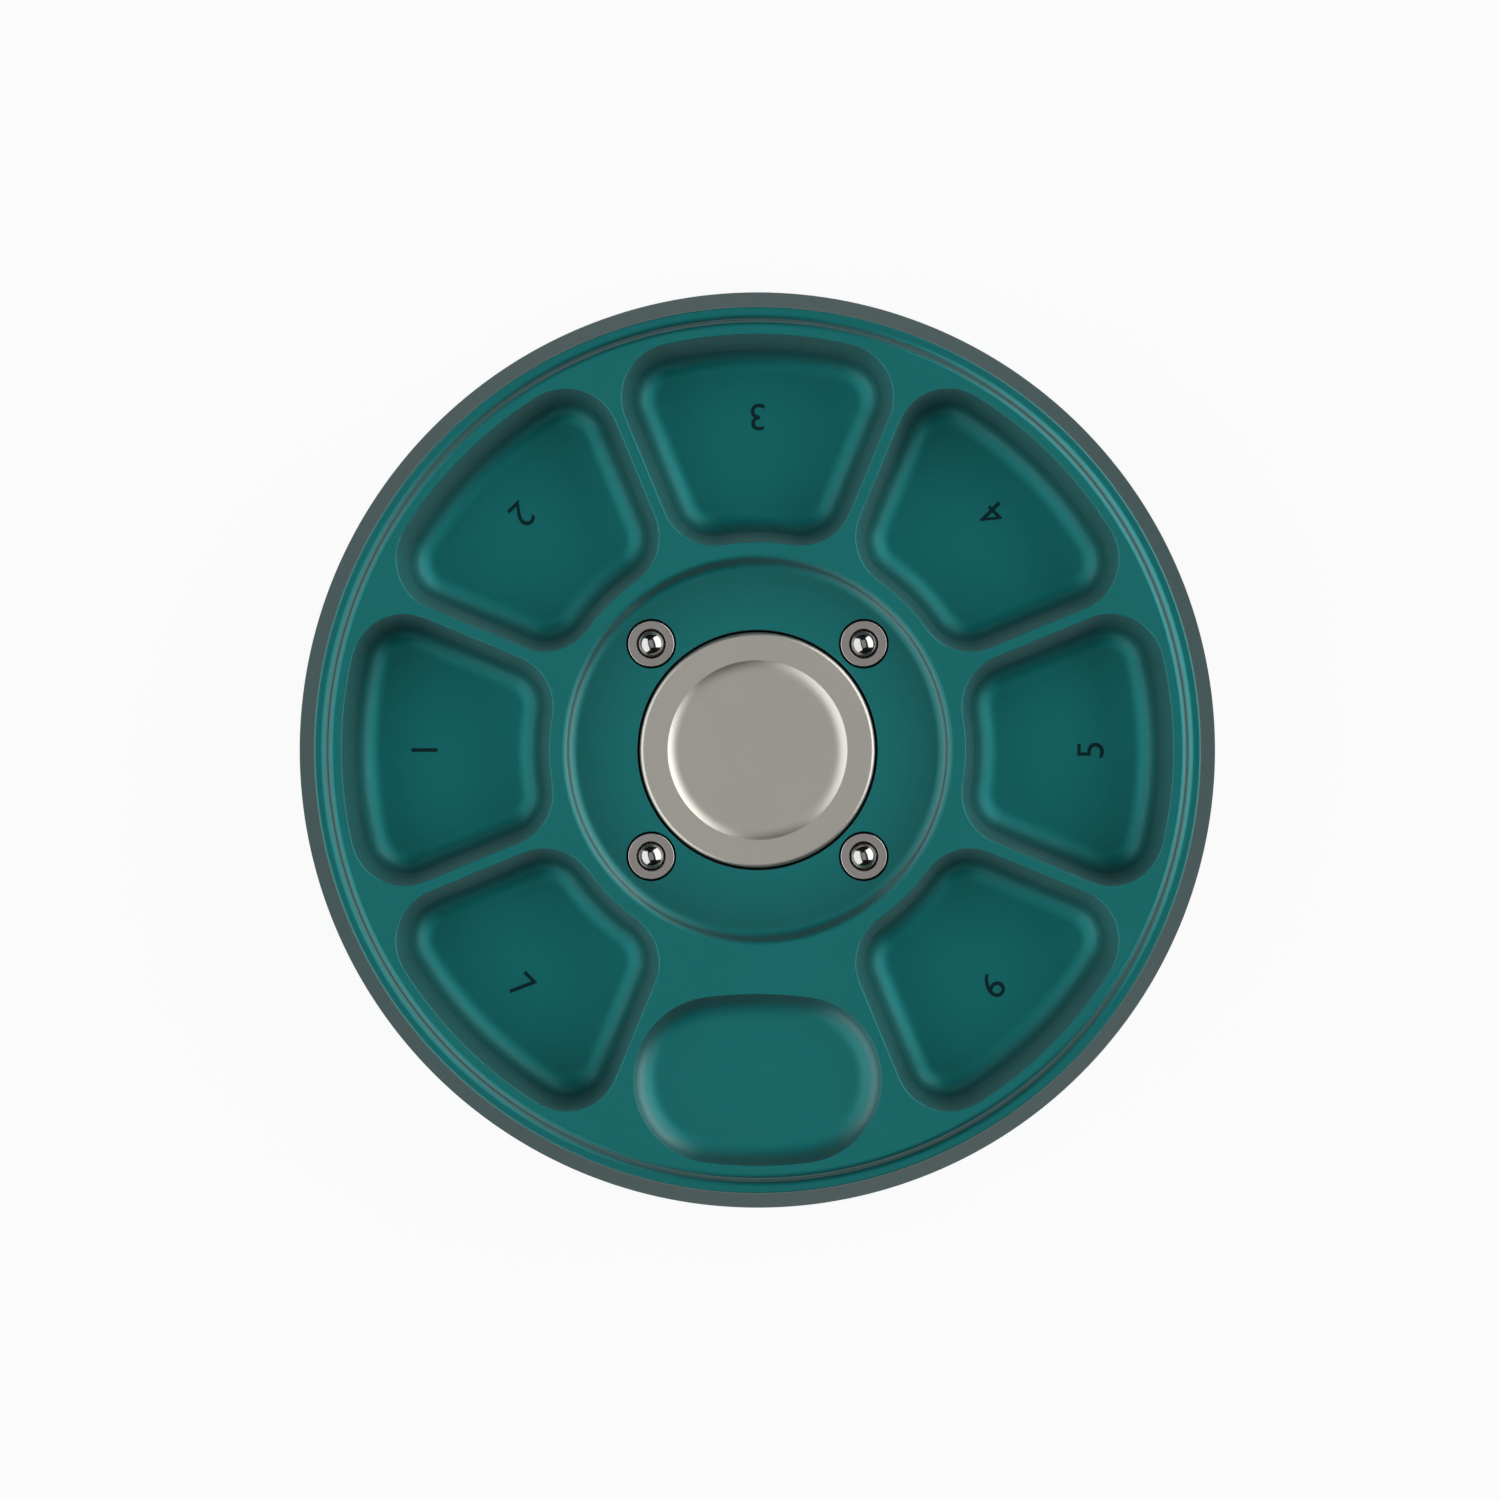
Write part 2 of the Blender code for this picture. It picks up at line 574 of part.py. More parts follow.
def tray_profile():
    """Half section of the tray's round form, before its compartments are cut."""
    race_inside = RACE_INNER_RADIUS - SEAT_GAP
    race_outside = RACE_OUTER_RADIUS + SEAT_GAP
    bush_hole = BUSH_RADIUS + SEAT_GAP
    edge_shoulder = TRAY_EDGE_RADIUS - TRAY_EDGE_ROUND
    profile = step_down(PLATEAU_RADIUS, PLATEAU, LEDGE_DROP, LEDGE_TOP_ROUND, LEDGE_FOOT_ROUND, 1)
    profile += [
        (edge_shoulder, LEDGE),
        (TRAY_EDGE_RADIUS, LEDGE - TRAY_EDGE_ROUND),
        (TRAY_BOTTOM_RADIUS, SKIRT_BOTTOM + EDGE_BREAK),
        (TRAY_BOTTOM_RADIUS - EDGE_BREAK, SKIRT_BOTTOM),
        (CAVITY_RADIUS, SKIRT_BOTTOM),
        (CAVITY_RADIUS, TRAY_UNDERSIDE),
        (race_outside, TRAY_UNDERSIDE),
        (race_outside, RACE_SEAT),
        (race_inside, RACE_SEAT),
        (race_inside, HUB_UNDERSIDE),
        (bush_hole, HUB_UNDERSIDE),
        (bush_hole, HUB_WELL_FLOOR),
        (HUB_WELL_RADIUS, HUB_WELL_FLOOR),
        (HUB_WELL_RADIUS, RECESS_FLOOR - EDGE_BREAK),
        (HUB_WELL_RADIUS + EDGE_BREAK, RECESS_FLOOR),
    ]
    recess = step_down(RECESS_RADIUS, PLATEAU, RECESS_DROP, RECESS_TOP_ROUND, RECESS_FOOT_ROUND, -1)
    return profile + recess[::-1]


def compartment_outline(inset):
    """The rounded sector of a compartment that lies towards +Y, moved in by inset.

    The corners' centres stay where they are, and only the radii change.
    """
    half_angle = PLACE_ANGLE / 2
    corner = COMPARTMENT_CORNER_RADIUS
    side = COMPARTMENT_RIB_WIDTH / 2 + corner
    outer_reach = COMPARTMENT_OUTER_RADIUS - corner
    inner_reach = COMPARTMENT_INNER_RADIUS + corner
    upright = math.pi / 2
    outer_turn = upright - half_angle + math.asin(side / outer_reach)
    inner_turn = upright - half_angle + math.asin(side / inner_reach)
    outer_corner = (outer_reach * math.cos(outer_turn), outer_reach * math.sin(outer_turn))
    inner_corner = (inner_reach * math.cos(inner_turn), inner_reach * math.sin(inner_turn))
    outer_radius = COMPARTMENT_OUTER_RADIUS - inset
    inner_radius = COMPARTMENT_INNER_RADIUS + inset
    half = arc((0, 0), outer_radius, upright, outer_turn, ARC_STEPS - 1)[:-1]
    half += arc(outer_corner, corner - inset, outer_turn, -half_angle, ARC_STEPS)
    half += arc(inner_corner, corner - inset, -half_angle, inner_turn - math.pi, ARC_STEPS)
    half += arc((0, 0), inner_radius, inner_turn, upright, ARC_STEPS // 2)[1:]
    mirrored = [(-x, y) for x, y in half[-2:0:-1]]
    return half + mirrored


def compartment_loops():
    """Outlines down the drafted wall and round its foot to the flat floor."""
    slope = math.tan(COMPARTMENT_DRAFT)
    foot = COMPARTMENT_FLOOR_ROUND
    wall_foot = COMPARTMENT_DEPTH - foot * (1 - math.sin(COMPARTMENT_DRAFT))
    centre_inset = wall_foot * slope + foot * math.cos(COMPARTMENT_DRAFT)
    loops = [(PLATEAU + CUT_OVERRUN, compartment_outline(-CUT_OVERRUN * slope))]
    for angle, drop in arc((0, 0), 1, COMPARTMENT_DRAFT, math.pi / 2, ARC_STEPS):
        height = COMPARTMENT_FLOOR + foot * (1 - drop)
        loops.append((height, compartment_outline(centre_inset - foot * angle)))
    return loops


def dish_outline(inset):
    """An oval of four arcs round the dish's own centre, moved in by inset."""
    half_length = DISH_LENGTH / 2
    half_width = DISH_WIDTH / 2
    end_radius = half_width * DISH_END_ROUND_SHARE
    end_reach = half_length - end_radius
    side_radius = (end_reach**2 + half_width**2 - end_radius**2) / (2 * (half_width - end_radius))
    side_reach = side_radius - half_width
    joint = math.atan2(side_reach, end_reach)
    right = arc((end_reach, 0), end_radius - inset, -joint, joint, 2 * ARC_STEPS)
    top = arc((0, -side_reach), side_radius - inset, joint, math.pi - joint, ARC_STEPS)
    half = right + top[1:-1]
    return half + [(-x, -y) for x, y in half]


def dish_loops():
    """Outlines from the dish's crisp edge down its hollow blend to the flat floor."""
    blend = DISH_BLEND_RADIUS
    reach = blend * math.sin(DISH_EDGE_SLOPE)
    floor = PLATEAU - blend * (1 - math.cos(DISH_EDGE_SLOPE))
    loops = [(PLATEAU + CUT_OVERRUN, dish_outline(-CUT_OVERRUN / math.tan(DISH_EDGE_SLOPE)))]
    for step in range(ARC_STEPS + 1):
        angle = DISH_EDGE_SLOPE * (1 - step / ARC_STEPS)
        height = floor + blend * (1 - math.cos(angle))
        loops.append((height, dish_outline(reach - blend * math.sin(angle))))
    return loops


def build_tray(parts, cutters, turntable, plunger_places, teal_metal):
    """The round body: turned, then cut with its compartments, dish and plunger holes."""
    placing = {"material": teal_metal, "parent": turntable}
    tray = add_turned("tray", tray_profile(), TRAY_SEGMENTS, parts, closed=True, **placing)
    hollows = bpy.data.collections.new("tray_hollows")
    shape = None
    for place in range(PLACE_COUNT):
        if place == DISH_PLACE:
            continue
        name = f"compartment_cutter_{place}"
        if shape is None:
            cutter = add_loft(name, compartment_loops(), hollows)
            shape = cutter.data
        else:
            cutter = add_object(name, shape, hollows)
        cutter.rotation_euler.z = -place * PLACE_ANGLE
    dish = add_loft("dish_cutter", dish_loops(), hollows)
    dish.location = (0, -DISH_CENTRE_RADIUS, 0)
    body_hole = PLUNGER_BODY_RADIUS + PLUNGER_HOLE_GAP
    collar_seat = RECESS_FLOOR - PLUNGER_COLLAR_HEIGHT - SEAT_GAP
    hole_floor = RECESS_FLOOR - PLUNGER_LENGTH - SEAT_GAP
    hole_profile = [
        (0, RECESS_FLOOR + CUT_OVERRUN),
        (PLUNGER_HOLE_RADIUS, RECESS_FLOOR + CUT_OVERRUN),
        (PLUNGER_HOLE_RADIUS, collar_seat),
        (body_hole, collar_seat),
        (body_hole, hole_floor),
        (0, hole_floor),
    ]
    for index, place in enumerate(plunger_places, start=1):
        name = f"plunger_hole_cutter_{index}"
        add_turned(name, hole_profile, PLUNGER_SEGMENTS, hollows, location=(*place, 0))
    cut_with(tray, hollows, cutters)
    settle(tray)


def sleeve_profile():
    """The plunger's shell from its spring floor, round its rolled lip, to its closed end."""
    collar_shoulder = PLUNGER_COLLAR_RADIUS - PLUNGER_LIP_ROUND
    return [
        (0, PLUNGER_SPRING_FLOOR),
        (PLUNGER_BORE_RADIUS, PLUNGER_SPRING_FLOOR),
        (PLUNGER_BORE_RADIUS, -PLUNGER_LIP_DEPTH),
        (PLUNGER_MOUTH_RADIUS, -PLUNGER_LIP_ROUND),
        (PLUNGER_MOUTH_RADIUS + PLUNGER_LIP_WIDTH, 0),
        (collar_shoulder, 0),
        (PLUNGER_COLLAR_RADIUS, -PLUNGER_LIP_ROUND),
        (PLUNGER_COLLAR_RADIUS, -PLUNGER_COLLAR_HEIGHT),
        (PLUNGER_BODY_RADIUS, -PLUNGER_COLLAR_HEIGHT),
        (PLUNGER_BODY_RADIUS, -PLUNGER_LENGTH),
        (0, -PLUNGER_LENGTH),
    ]


def spring_points(ball_centre):
    """The coil's middle line, from the sleeve's floor up to the ball's underside."""
    clear = PLUNGER_BALL_RADIUS + SPRING_WIRE_RADIUS + SEAT_GAP
    top = ball_centre - math.sqrt(clear**2 - SPRING_COIL_RADIUS**2)
    bottom = PLUNGER_SPRING_FLOOR + SPRING_WIRE_RADIUS + SEAT_GAP
    count = round(SPRING_TURNS * SPRING_POINTS_PER_TURN)
    points = []
    for index in range(count + 1):
        angle = math.tau * SPRING_TURNS * index / count
        height = bottom + (top - bottom) * index / count
        points.append((SPRING_COIL_RADIUS * math.cos(angle), SPRING_COIL_RADIUS * math.sin(angle), height))
    return points


def least_gap(points, wire_radius):
    """The least clear distance between stretches of a coil half a turn or more apart."""
    apart = SPRING_POINTS_PER_TURN // 2
    least = math.inf
    for index, point in enumerate(points):
        for other in points[index + apart :]:
            least = min(least, (Vector(point) - Vector(other)).length)
    return least - 2 * wire_radius


def build_plungers(parts, turntable, places, bright_steel, spring_steel):
    """Each plunger: a collared sleeve pressed into the tray, its spring and its ball."""
    mouth_clear = PLUNGER_BALL_RADIUS + PLUNGER_BALL_GAP
    ball_centre = -PLUNGER_LIP_ROUND - math.sqrt(mouth_clear**2 - PLUNGER_MOUTH_RADIUS**2)
    seats = [(*place, RECESS_FLOOR) for place in places]
    placing = {"material": bright_steel, "parent": turntable, "location": seats[0]}
    sleeve = add_turned("plunger_sleeve_1", sleeve_profile(), PLUNGER_SEGMENTS, parts, **placing)
    settle(sleeve)
    for index, seat in enumerate(seats[1:], start=2):
        add_object(f"plunger_sleeve_{index}", sleeve.data, parts, parent=turntable, location=seat)
    coil = bpy.data.curves.new("plunger_spring", "CURVE")
    coil.dimensions = "3D"
    coil.bevel_depth = SPRING_WIRE_RADIUS
    coil.bevel_resolution = 1
    coil.use_fill_caps = True
    points = spring_points(ball_centre)
    add_spline(coil, points, cyclic=False)
    coil.materials.append(spring_steel)
    gap = least_gap(points, SPRING_WIRE_RADIUS)
    print(f"plunger spring: least gap to itself {gap * 1000:.2f} mm")
    size = (PLUNGER_BALL_RADIUS, PLUNGER_BALL_SEGMENTS, PLUNGER_BALL_RINGS)
    ball = make_ball("plunger_ball", *size, bright_steel)
    for index, seat in enumerate(seats, start=1):
        add_object(f"plunger_spring_{index}", coil, parts, parent=turntable, location=seat)
        slide = add_object(f"plunger_slide_{index}", None, parts, parent=turntable, location=seat)
        add_object(f"plunger_ball_{index}", ball, parts, parent=slide, location=(0, 0, ball_centre))


def main():
    clear_scene()
    parts = make_collection(PARTS_NAME)
    cutters = make_collection(CUTTERS_NAME)
    teal_metal = make_material("teal_anodised", (0.012, 0.13, 0.13), 0.32, 0.9)
    satin_metal = make_material("satin_hub", (0.35, 0.33, 0.30), 0.35, 1)
    dark_metal = make_material("dark_base", (0.03, 0.035, 0.037), 0.5, 0.8)
    steel = make_material("ground_steel", (0.55, 0.55, 0.56), 0.25, 1)
    bright_steel = make_material("bright_steel", (0.7, 0.7, 0.7), 0.08, 1)
    spring_steel = make_material("spring_steel", (0.3, 0.3, 0.31), 0.3, 1)
    bronze = make_material("bronze", (0.42, 0.25, 0.11), 0.4, 1)
    rubber = make_material("rubber", (0.02, 0.02, 0.02), 0.8, 0)

    turntable = add_object("turntable_axis", None, parts)
    bearing_axis = add_object("bearing_axis", None, parts)
    plunger_places = places_on_circle(PLUNGER_COUNT, PLUNGER_CIRCLE_RADIUS, PLACE_ANGLE)

    foot_places = build_feet(parts, rubber)
    build_base_plate(parts, cutters, foot_places, dark_metal)
    build_spindle(parts, steel)
    build_spindle_screw(parts, cutters, steel)
    build_clip(parts, spring_steel)
    build_hub_cap(parts, satin_metal)
    build_races(parts, turntable, steel)
    build_ball_cage(parts, bearing_axis, bronze, steel)
    build_bush(parts, turntable, bronze)
    build_tray(parts, cutters, turntable, plunger_places, teal_metal)
    build_plungers(parts, turntable, plunger_places, bright_steel, spring_steel)


main()
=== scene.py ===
"""Visual model of a rotating pill organizer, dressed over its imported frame.

All sizes are in metres, in the frame's own place: the origin is on the table
under the spindle's axis, +Z is up, and the thumb dish lies towards -Y.
"""

import math

import bmesh
import bpy
from mathutils import Matrix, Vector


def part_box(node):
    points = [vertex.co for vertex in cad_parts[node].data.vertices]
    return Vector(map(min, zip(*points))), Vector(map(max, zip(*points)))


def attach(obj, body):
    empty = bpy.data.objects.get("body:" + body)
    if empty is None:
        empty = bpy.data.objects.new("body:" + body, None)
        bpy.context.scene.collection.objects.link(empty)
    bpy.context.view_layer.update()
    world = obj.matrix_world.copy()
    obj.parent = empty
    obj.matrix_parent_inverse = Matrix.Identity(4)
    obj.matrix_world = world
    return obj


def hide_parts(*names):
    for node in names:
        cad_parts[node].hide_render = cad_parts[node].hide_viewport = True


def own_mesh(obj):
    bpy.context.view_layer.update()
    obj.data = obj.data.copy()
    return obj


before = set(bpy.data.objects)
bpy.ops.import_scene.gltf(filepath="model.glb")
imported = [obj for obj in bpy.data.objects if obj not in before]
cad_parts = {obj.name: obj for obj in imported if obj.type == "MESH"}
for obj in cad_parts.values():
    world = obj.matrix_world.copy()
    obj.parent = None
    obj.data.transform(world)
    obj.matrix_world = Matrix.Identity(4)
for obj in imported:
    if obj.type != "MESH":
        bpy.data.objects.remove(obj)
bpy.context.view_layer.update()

UPRIGHT = math.pi / 2
WELD = 1e-6
CUT_OVERRUN = 0.001
SHARP_ANGLE = math.radians(32)
EDGE_ANGLE = math.radians(35)

# Camera and the photograph's frame
VIEW_WIDTH = 0.180
VIEW_DISTANCE = 1.06
VIEW_OFFSET = 0.0009
SENSOR_WIDTH = 36
CLIP_START = 0.01
CLIP_END = 20

# Soft lights: azimuth clockwise from +Y, zenith, half width and half height in degrees, and radiance
SOFTBOXES = {
    "softbox_left": (257, 60, 47.5, 35.4, 1.64),
    "softbox_right": (72, 59, 39, 27, 2.415),
    "softbox_top": (75, 0, 30.6, 16.8, 0.40),
}
LIGHT_DISTANCE = 2.0
WORLD_LEVEL = 0.01

# Floor
FLOOR_RADIUS = 5
FLOOR_SEGMENTS = 96
FLOOR_TONE = 0.80
FLOOR_GLOW_SHARE = 0.92

# Heights of the tray
PLATEAU = 0.022
LEDGE = 0.0208
RECESS_FLOOR = 0.02075
HUB_WELL_FLOOR = 0.0142
COMPARTMENT_FLOOR = 0.010
TRAY_UNDERSIDE = 0.008
RACE_SEAT = 0.0106
HUB_UNDERSIDE = 0.008
SKIRT_BOTTOM = 0.0015

# Radii and rounds of the tray
TRAY_SEGMENTS = 256
TRAY_BOTTOM_RADIUS = 0.056
TRAY_EDGE_RADIUS = 0.0533
TRAY_EDGE_ROUND = 0.00025
TRAY_EDGE_STEPS = 6
CAVITY_RADIUS = 0.051
PLATEAU_RADIUS = 0.0508
LEDGE_TOP_ROUND = 0.00085
LEDGE_FOOT_ROUND = 0.0011
RECESS_RADIUS = 0.02364
RECESS_TOP_ROUND = 0.001
RECESS_FOOT_ROUND = 0.0015
SOFT_STEP_STEPS = 10
HUB_WELL_RADIUS = 0.01442
RACE_INSIDE = 0.0167
RACE_OUTSIDE = 0.0233
BUSH_HOLE = 0.0063
EDGE_BREAK = 0.00015
EDGE_BREAK_STEPS = 2

# Compartments
PLACE_COUNT = 8
DISH_PLACE = 4
PLACE_ANGLE = math.tau / PLACE_COUNT
COMPARTMENT_INNER_RADIUS = 0.0250
COMPARTMENT_OUTER_RADIUS = 0.0499
COMPARTMENT_RIB_WIDTH = 0.00132
COMPARTMENT_CORNER_RADIUS = 0.0064
COMPARTMENT_DRAFT = math.radians(8)
COMPARTMENT_FLOOR_ROUND = 0.003
COMPARTMENT_FLOOR_STEPS = 14
COMPARTMENT_RIM_ROUND = 0.00012
COMPARTMENT_RIM_STEPS = 4
OUTER_WALL_STEPS = 12
OUTER_CORNER_STEPS = 20
INNER_CORNER_STEPS = 14
INNER_WALL_STEPS = 6

# Thumb dish
DISH_LENGTH = 0.0298
DISH_WIDTH = 0.0206
DISH_END_ROUND_SHARE = 0.97
DISH_END_STEPS = 48
DISH_SIDE_STEPS = 16
DISH_BLEND_RADIUS = 0.0039
DISH_BLEND_STEPS = 14
DISH_EDGE_SLOPE = math.radians(60)
DISH_RIM_ROUND = 0.00008
DISH_RIM_STEPS = 3
DISH_CENTRE_RADIUS = 0.0396

# Hub cap
CAP_SEGMENTS = 192
CAP_RADIUS = 0.01414
CAP_TOP = 0.0212
CAP_BOTTOM = 0.0182
CAP_EDGE_ROUND = 0.00052
CAP_EDGE_STEPS = 8
CAP_DISH_RADIUS = 0.0108
CAP_DISH_BLEND_RADIUS = 0.00336
CAP_DISH_BLEND_STEPS = 12
CAP_DISH_SLOPE = math.radians(30)
CAP_DISH_RIM_ROUND = 0.00012
CAP_DISH_RIM_STEPS = 4
CAP_SOCKET_RADIUS = 0.0033
CAP_SOCKET_TOP = 0.0202

# Ball plungers
PLUNGER_COUNT = 4
PLUNGER_CIRCLE_RADIUS = 0.01806
PLUNGER_HOLE_SEGMENTS = 64
PLUNGER_HOLE_RADIUS = 0.003
PLUNGER_BODY_HOLE_RADIUS = 0.00273
PLUNGER_COLLAR_SEAT = 0.01965
PLUNGER_HOLE_FLOOR = 0.01345
PLUNGER_SEGMENTS = 96
PLUNGER_COLLAR_RADIUS = 0.00277
PLUNGER_COLLAR_HEIGHT = 0.0008
PLUNGER_COLLAR_ROUND = 0.0001
PLUNGER_COLLAR_STEPS = 4
PLUNGER_BODY_RADIUS = 0.0025
PLUNGER_BORE_RADIUS = 0.002
PLUNGER_LENGTH = 0.007
PLUNGER_FLOOR_THICKNESS = 0.0006
BALL_SEGMENTS = 64
BALL_RINGS = 32

# The sleeve's rolled lip: radius, and height from the collar's face
PLUNGER_LIP = [
    (PLUNGER_BORE_RADIUS, -0.0009),
    (0.00169, -0.00042),
    (0.00168, -0.00030),
    (0.00181, -0.00002),
    (0.00183, 0),
]

# Springs under the balls
SPRING_WIRE_RADIUS = 0.0002
SPRING_WIRE_SEGMENTS = 12
SPRING_COIL_RADIUS = 0.00125
SPRING_TURNS = 3.5
SPRING_STEPS = 84
SPRING_LOW_TURN = 0.01485
SPRING_HIGH_TURN = 0.01785

# Numbers on the compartment floors, from the place at the top and clockwise
NUMBERS = ("3", "4", "5", "6", None, "7", "1", "2")
NUMBER_HEIGHT = 0.0034
NUMBER_BASELINE_RADIUS = 0.0420
NUMBER_THICKNESS = 0.00003
NUMBER_CURVE_STEPS = 8
FONT_HEIGHT_SHARE = 0.73

# The tray's finishes, in the order of its material slots
TOP, POCKET, STEP, WALL, HOLE_PAINTED_SHADE = range(5)

# Tones of the anodised teal, and copies of it painted lighter, darker or greyer for light, shade and reflection
TEAL = (0.0006, 0.202, 0.202)
# Painted grey reflection and shade: steep faces of the top finish blend to this greyer, darker teal
TEAL_STEEP_PAINTED_REFLECTION = (0.014, 0.160, 0.160)
# Painted light: a lighter teal in the compartments lifts their shaded floors and walls
TEAL_POCKET_PAINTED_LIGHT = (0.010, 0.252, 0.252)
# Painted shade and grey reflection: the steep band of the outer step blends to this darker, greyer teal
TEAL_STEP_PAINTED_SHADE = (0.020, 0.125, 0.125)
# Painted grey reflection and shade: the outer wall gets this greyer, darker teal
TEAL_WALL_PAINTED_SHADE = (0.013, 0.185, 0.185)
# Painted shade: a near-black teal in the holes round the plungers
TEAL_HOLE_PAINTED_SHADE = (0.0003, 0.02, 0.02)
# Painted shade: the recess floor darkens to this teal towards its wall
TEAL_RECESS_PAINTED_SHADE = (0.0004, 0.145, 0.145)
CLOUD_SHADE = 0.955

# The upward part of the normal where the teal's skin and its steep tone, a painted grey reflection and shade, start
# and where they are full
SKIN_SLOPES = (0.87, 0.50)
PAINTED_REFLECTION_SLOPES = (0.96, 0.78)

# Where the painted shade on the recess floor starts, is full and ends, from the axis
RECESS_PAINTED_SHADE_REACH = (0.0150, 0.0213, 0.0225)

# The teal's clear skin and its sheen
SKIN_ROUGHNESS = 0.36
SKIN_IOR = 2.5
SHEEN_WEIGHT = 0.06
SHEEN_ROUGHNESS = 0.5

# Noise patterns: scale per metre, detail and roughness
TEAL_CLOUD = (60.0, 3.0, 0.5)
TEAL_SPECK = (2600.0, 3.0, 0.6)
TEAL_GRAIN = (9000.0, 2.0, 0.7)
SATIN_CLOUD = (80.0, 3.0, 0.5)
SATIN_GRAIN = (8000.0, 2.0, 0.7)
METAL_CLOUD = (120.0, 3.0, 0.5)
METAL_GRAIN = (3000.0, 2.0, 0.6)
BALL_GRAIN = (4000.0, 2.0, 0.6)
PAINT_TOOTH = (2500.0, 3.0, 0.6)

# The middle part of a noise pattern, which is spread over the whole range
NOISE_LOW = 0.3
NOISE_HIGH = 0.7

# Reliefs: strength and depth
TEAL_RELIEF = (0.10, 0.00002)
SATIN_RELIEF = (0.08, 0.00002)
METAL_RELIEF = (0.08, 0.000004)
BALL_RELIEF = (0.08, 0.000001)
PAINT_RELIEF = (0.2, 0.00004)

# How far a roughness strays either way, for metal as a share of it
TEAL_STRAY = 0.02
SATIN_STRAY = 0.02
METAL_STRAY = 0.05
PAINT_STRAY = 0.06

# A mix node's sockets for colours
MIX_FIRST = 6
MIX_SECOND = 7
MIX_RESULT = 2


def arc(centre, radius, start, end, steps):
    """Points on an arc, from one angle to the other, ends included."""
    points = []
    for step in range(steps + 1):
        angle = start + (end - start) * step / steps
        points.append((centre[0] + radius * math.cos(angle), centre[1] + radius * math.sin(angle)))
    return points


def step_down(edge, top, drop, top_round, foot_round, side):
    """Section of a soft step that falls by drop towards side, 1 for outwards and -1 for inwards."""
    turn = math.acos(1 - drop / (top_round + foot_round))
    run = (top_round + foot_round) * math.sin(turn)
    brow = arc((0, top - top_round), top_round, UPRIGHT, UPRIGHT - turn, SOFT_STEP_STEPS)
    foot = arc((run, top - drop + foot_round), foot_round, -UPRIGHT - turn, -UPRIGHT, SOFT_STEP_STEPS)
    return [(edge + side * x, z) for x, z in brow + foot[1:]]


def soft_rim(radius, turn, steps):
    """Inset and drop of each point of a rim that rounds over from a flat top into a wall."""
    start = -radius * math.tan(turn / 2)
    points = []
    for step in range(steps + 1):
        angle = turn * step / steps
        points.append((start + radius * math.sin(angle), radius * (1 - math.cos(angle))))
    return points


def spun(section, steps, closed=False):
    """A section of (radius, height) points, spun once round Z."""
    shape = bmesh.new()
    corners = [shape.verts.new((radius, 0, height)) for radius, height in section]
    edges = [shape.edges.new(pair) for pair in zip(corners, corners[1:])]
    if closed:
        edges.append(shape.edges.new((corners[-1], corners[0])))
    bmesh.ops.spin(
        shape, geom=corners + edges, axis=(0, 0, 1), cent=(0, 0, 0), angle=math.tau, steps=steps, use_merge=True
    )
    bmesh.ops.remove_doubles(shape, verts=shape.verts, dist=WELD)
    bmesh.ops.recalc_face_normals(shape, faces=shape.faces)
    return shape


def break_edges(shape):
    """Rounds over every sharp edge by a little."""
    sharp = [edge for edge in shape.edges if edge.is_manifold and edge.calc_face_angle() > EDGE_ANGLE]
    bmesh.ops.bevel(
        shape, geom=sharp, offset=EDGE_BREAK, offset_type="OFFSET", segments=EDGE_BREAK_STEPS, profile=0.5,
        affect="EDGES", clamp_overlap=True, material=-1,
    )
    bmesh.ops.remove_doubles(shape, verts=shape.verts, dist=WELD)
    return shape


def sunk_plug(outline, top, course):
    """A plug to cut a hollow with: an outline at height top, then an inset and a drop for each step."""
    shape = bmesh.new()
    face = shape.faces.new([shape.verts.new((x, y, top + CUT_OVERRUN)) for x, y in outline])
    face.normal_update()
    if face.normal.z < 0:
        face.normal_flip()
    grown = bmesh.ops.extrude_face_region(shape, geom=[face])["geom"]
    floor = next(item for item in grown if isinstance(item, bmesh.types.BMFace))
    bmesh.ops.translate(shape, verts=floor.verts, vec=(0, 0, -CUT_OVERRUN))
    bmesh.ops.recalc_face_normals(shape, faces=shape.faces)
    for (inset, drop), (next_inset, next_drop) in zip(course, course[1:]):
        bmesh.ops.inset_region(
            shape, faces=[floor], thickness=next_inset - inset, depth=next_drop - drop, use_even_offset=True
        )
    return shape


def add_piece(name, shape, place=None):
    """A finished bmesh as an object at the origin, with its place in its mesh."""
    if place is not None:
        bmesh.ops.transform(shape, matrix=place, verts=shape.verts)
    mesh = bpy.data.meshes.new(name)
    shape.to_mesh(mesh)
    shape.free()
    piece = bpy.data.objects.new(name, mesh)
    bpy.context.scene.collection.objects.link(piece)
    return piece


def settle(piece):
    """Makes a piece's modifiers final."""
    graph = bpy.context.evaluated_depsgraph_get()
    unfinished = piece.data
    piece.data = bpy.data.meshes.new_from_object(piece.evaluated_get(graph))
    piece.modifiers.clear()
    bpy.data.meshes.remove(unfinished)
    piece.data.name = piece.name


def shade(piece):
    """Smooth shading between sharp edges, with flat faces kept flat."""
    piece.data.shade_smooth()
    piece.data.set_sharp_from_angle(angle=SHARP_ANGLE)
    even = piece.modifiers.new("even", "WEIGHTED_NORMAL")
    even.keep_sharp = True
    settle(piece)


def cut(piece, cutters):
    """Takes every cutter out of a piece and removes the cutters."""
    tools = bpy.data.collections.new("tools")
    for cutter in cutters:
        tools.objects.link(cutter)
    work = piece.modifiers.new("work", "BOOLEAN")
    work.operation = "DIFFERENCE"
    work.operand_type = "COLLECTION"
    work.collection = tools
    work.solver = "EXACT"
    settle(piece)
    for cutter in cutters:
        bpy.data.meshes.remove(cutter.data)
    bpy.data.collections.remove(tools)


def dress(piece, finish, body, slot, *nodes):
    """Gives a piece its finish and its body, and hides the nodes that it stands for; slot is not used."""
    piece.data.materials.clear()
    piece.data.materials.append(finish)
    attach(piece, body)
    if nodes:
        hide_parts(*nodes)


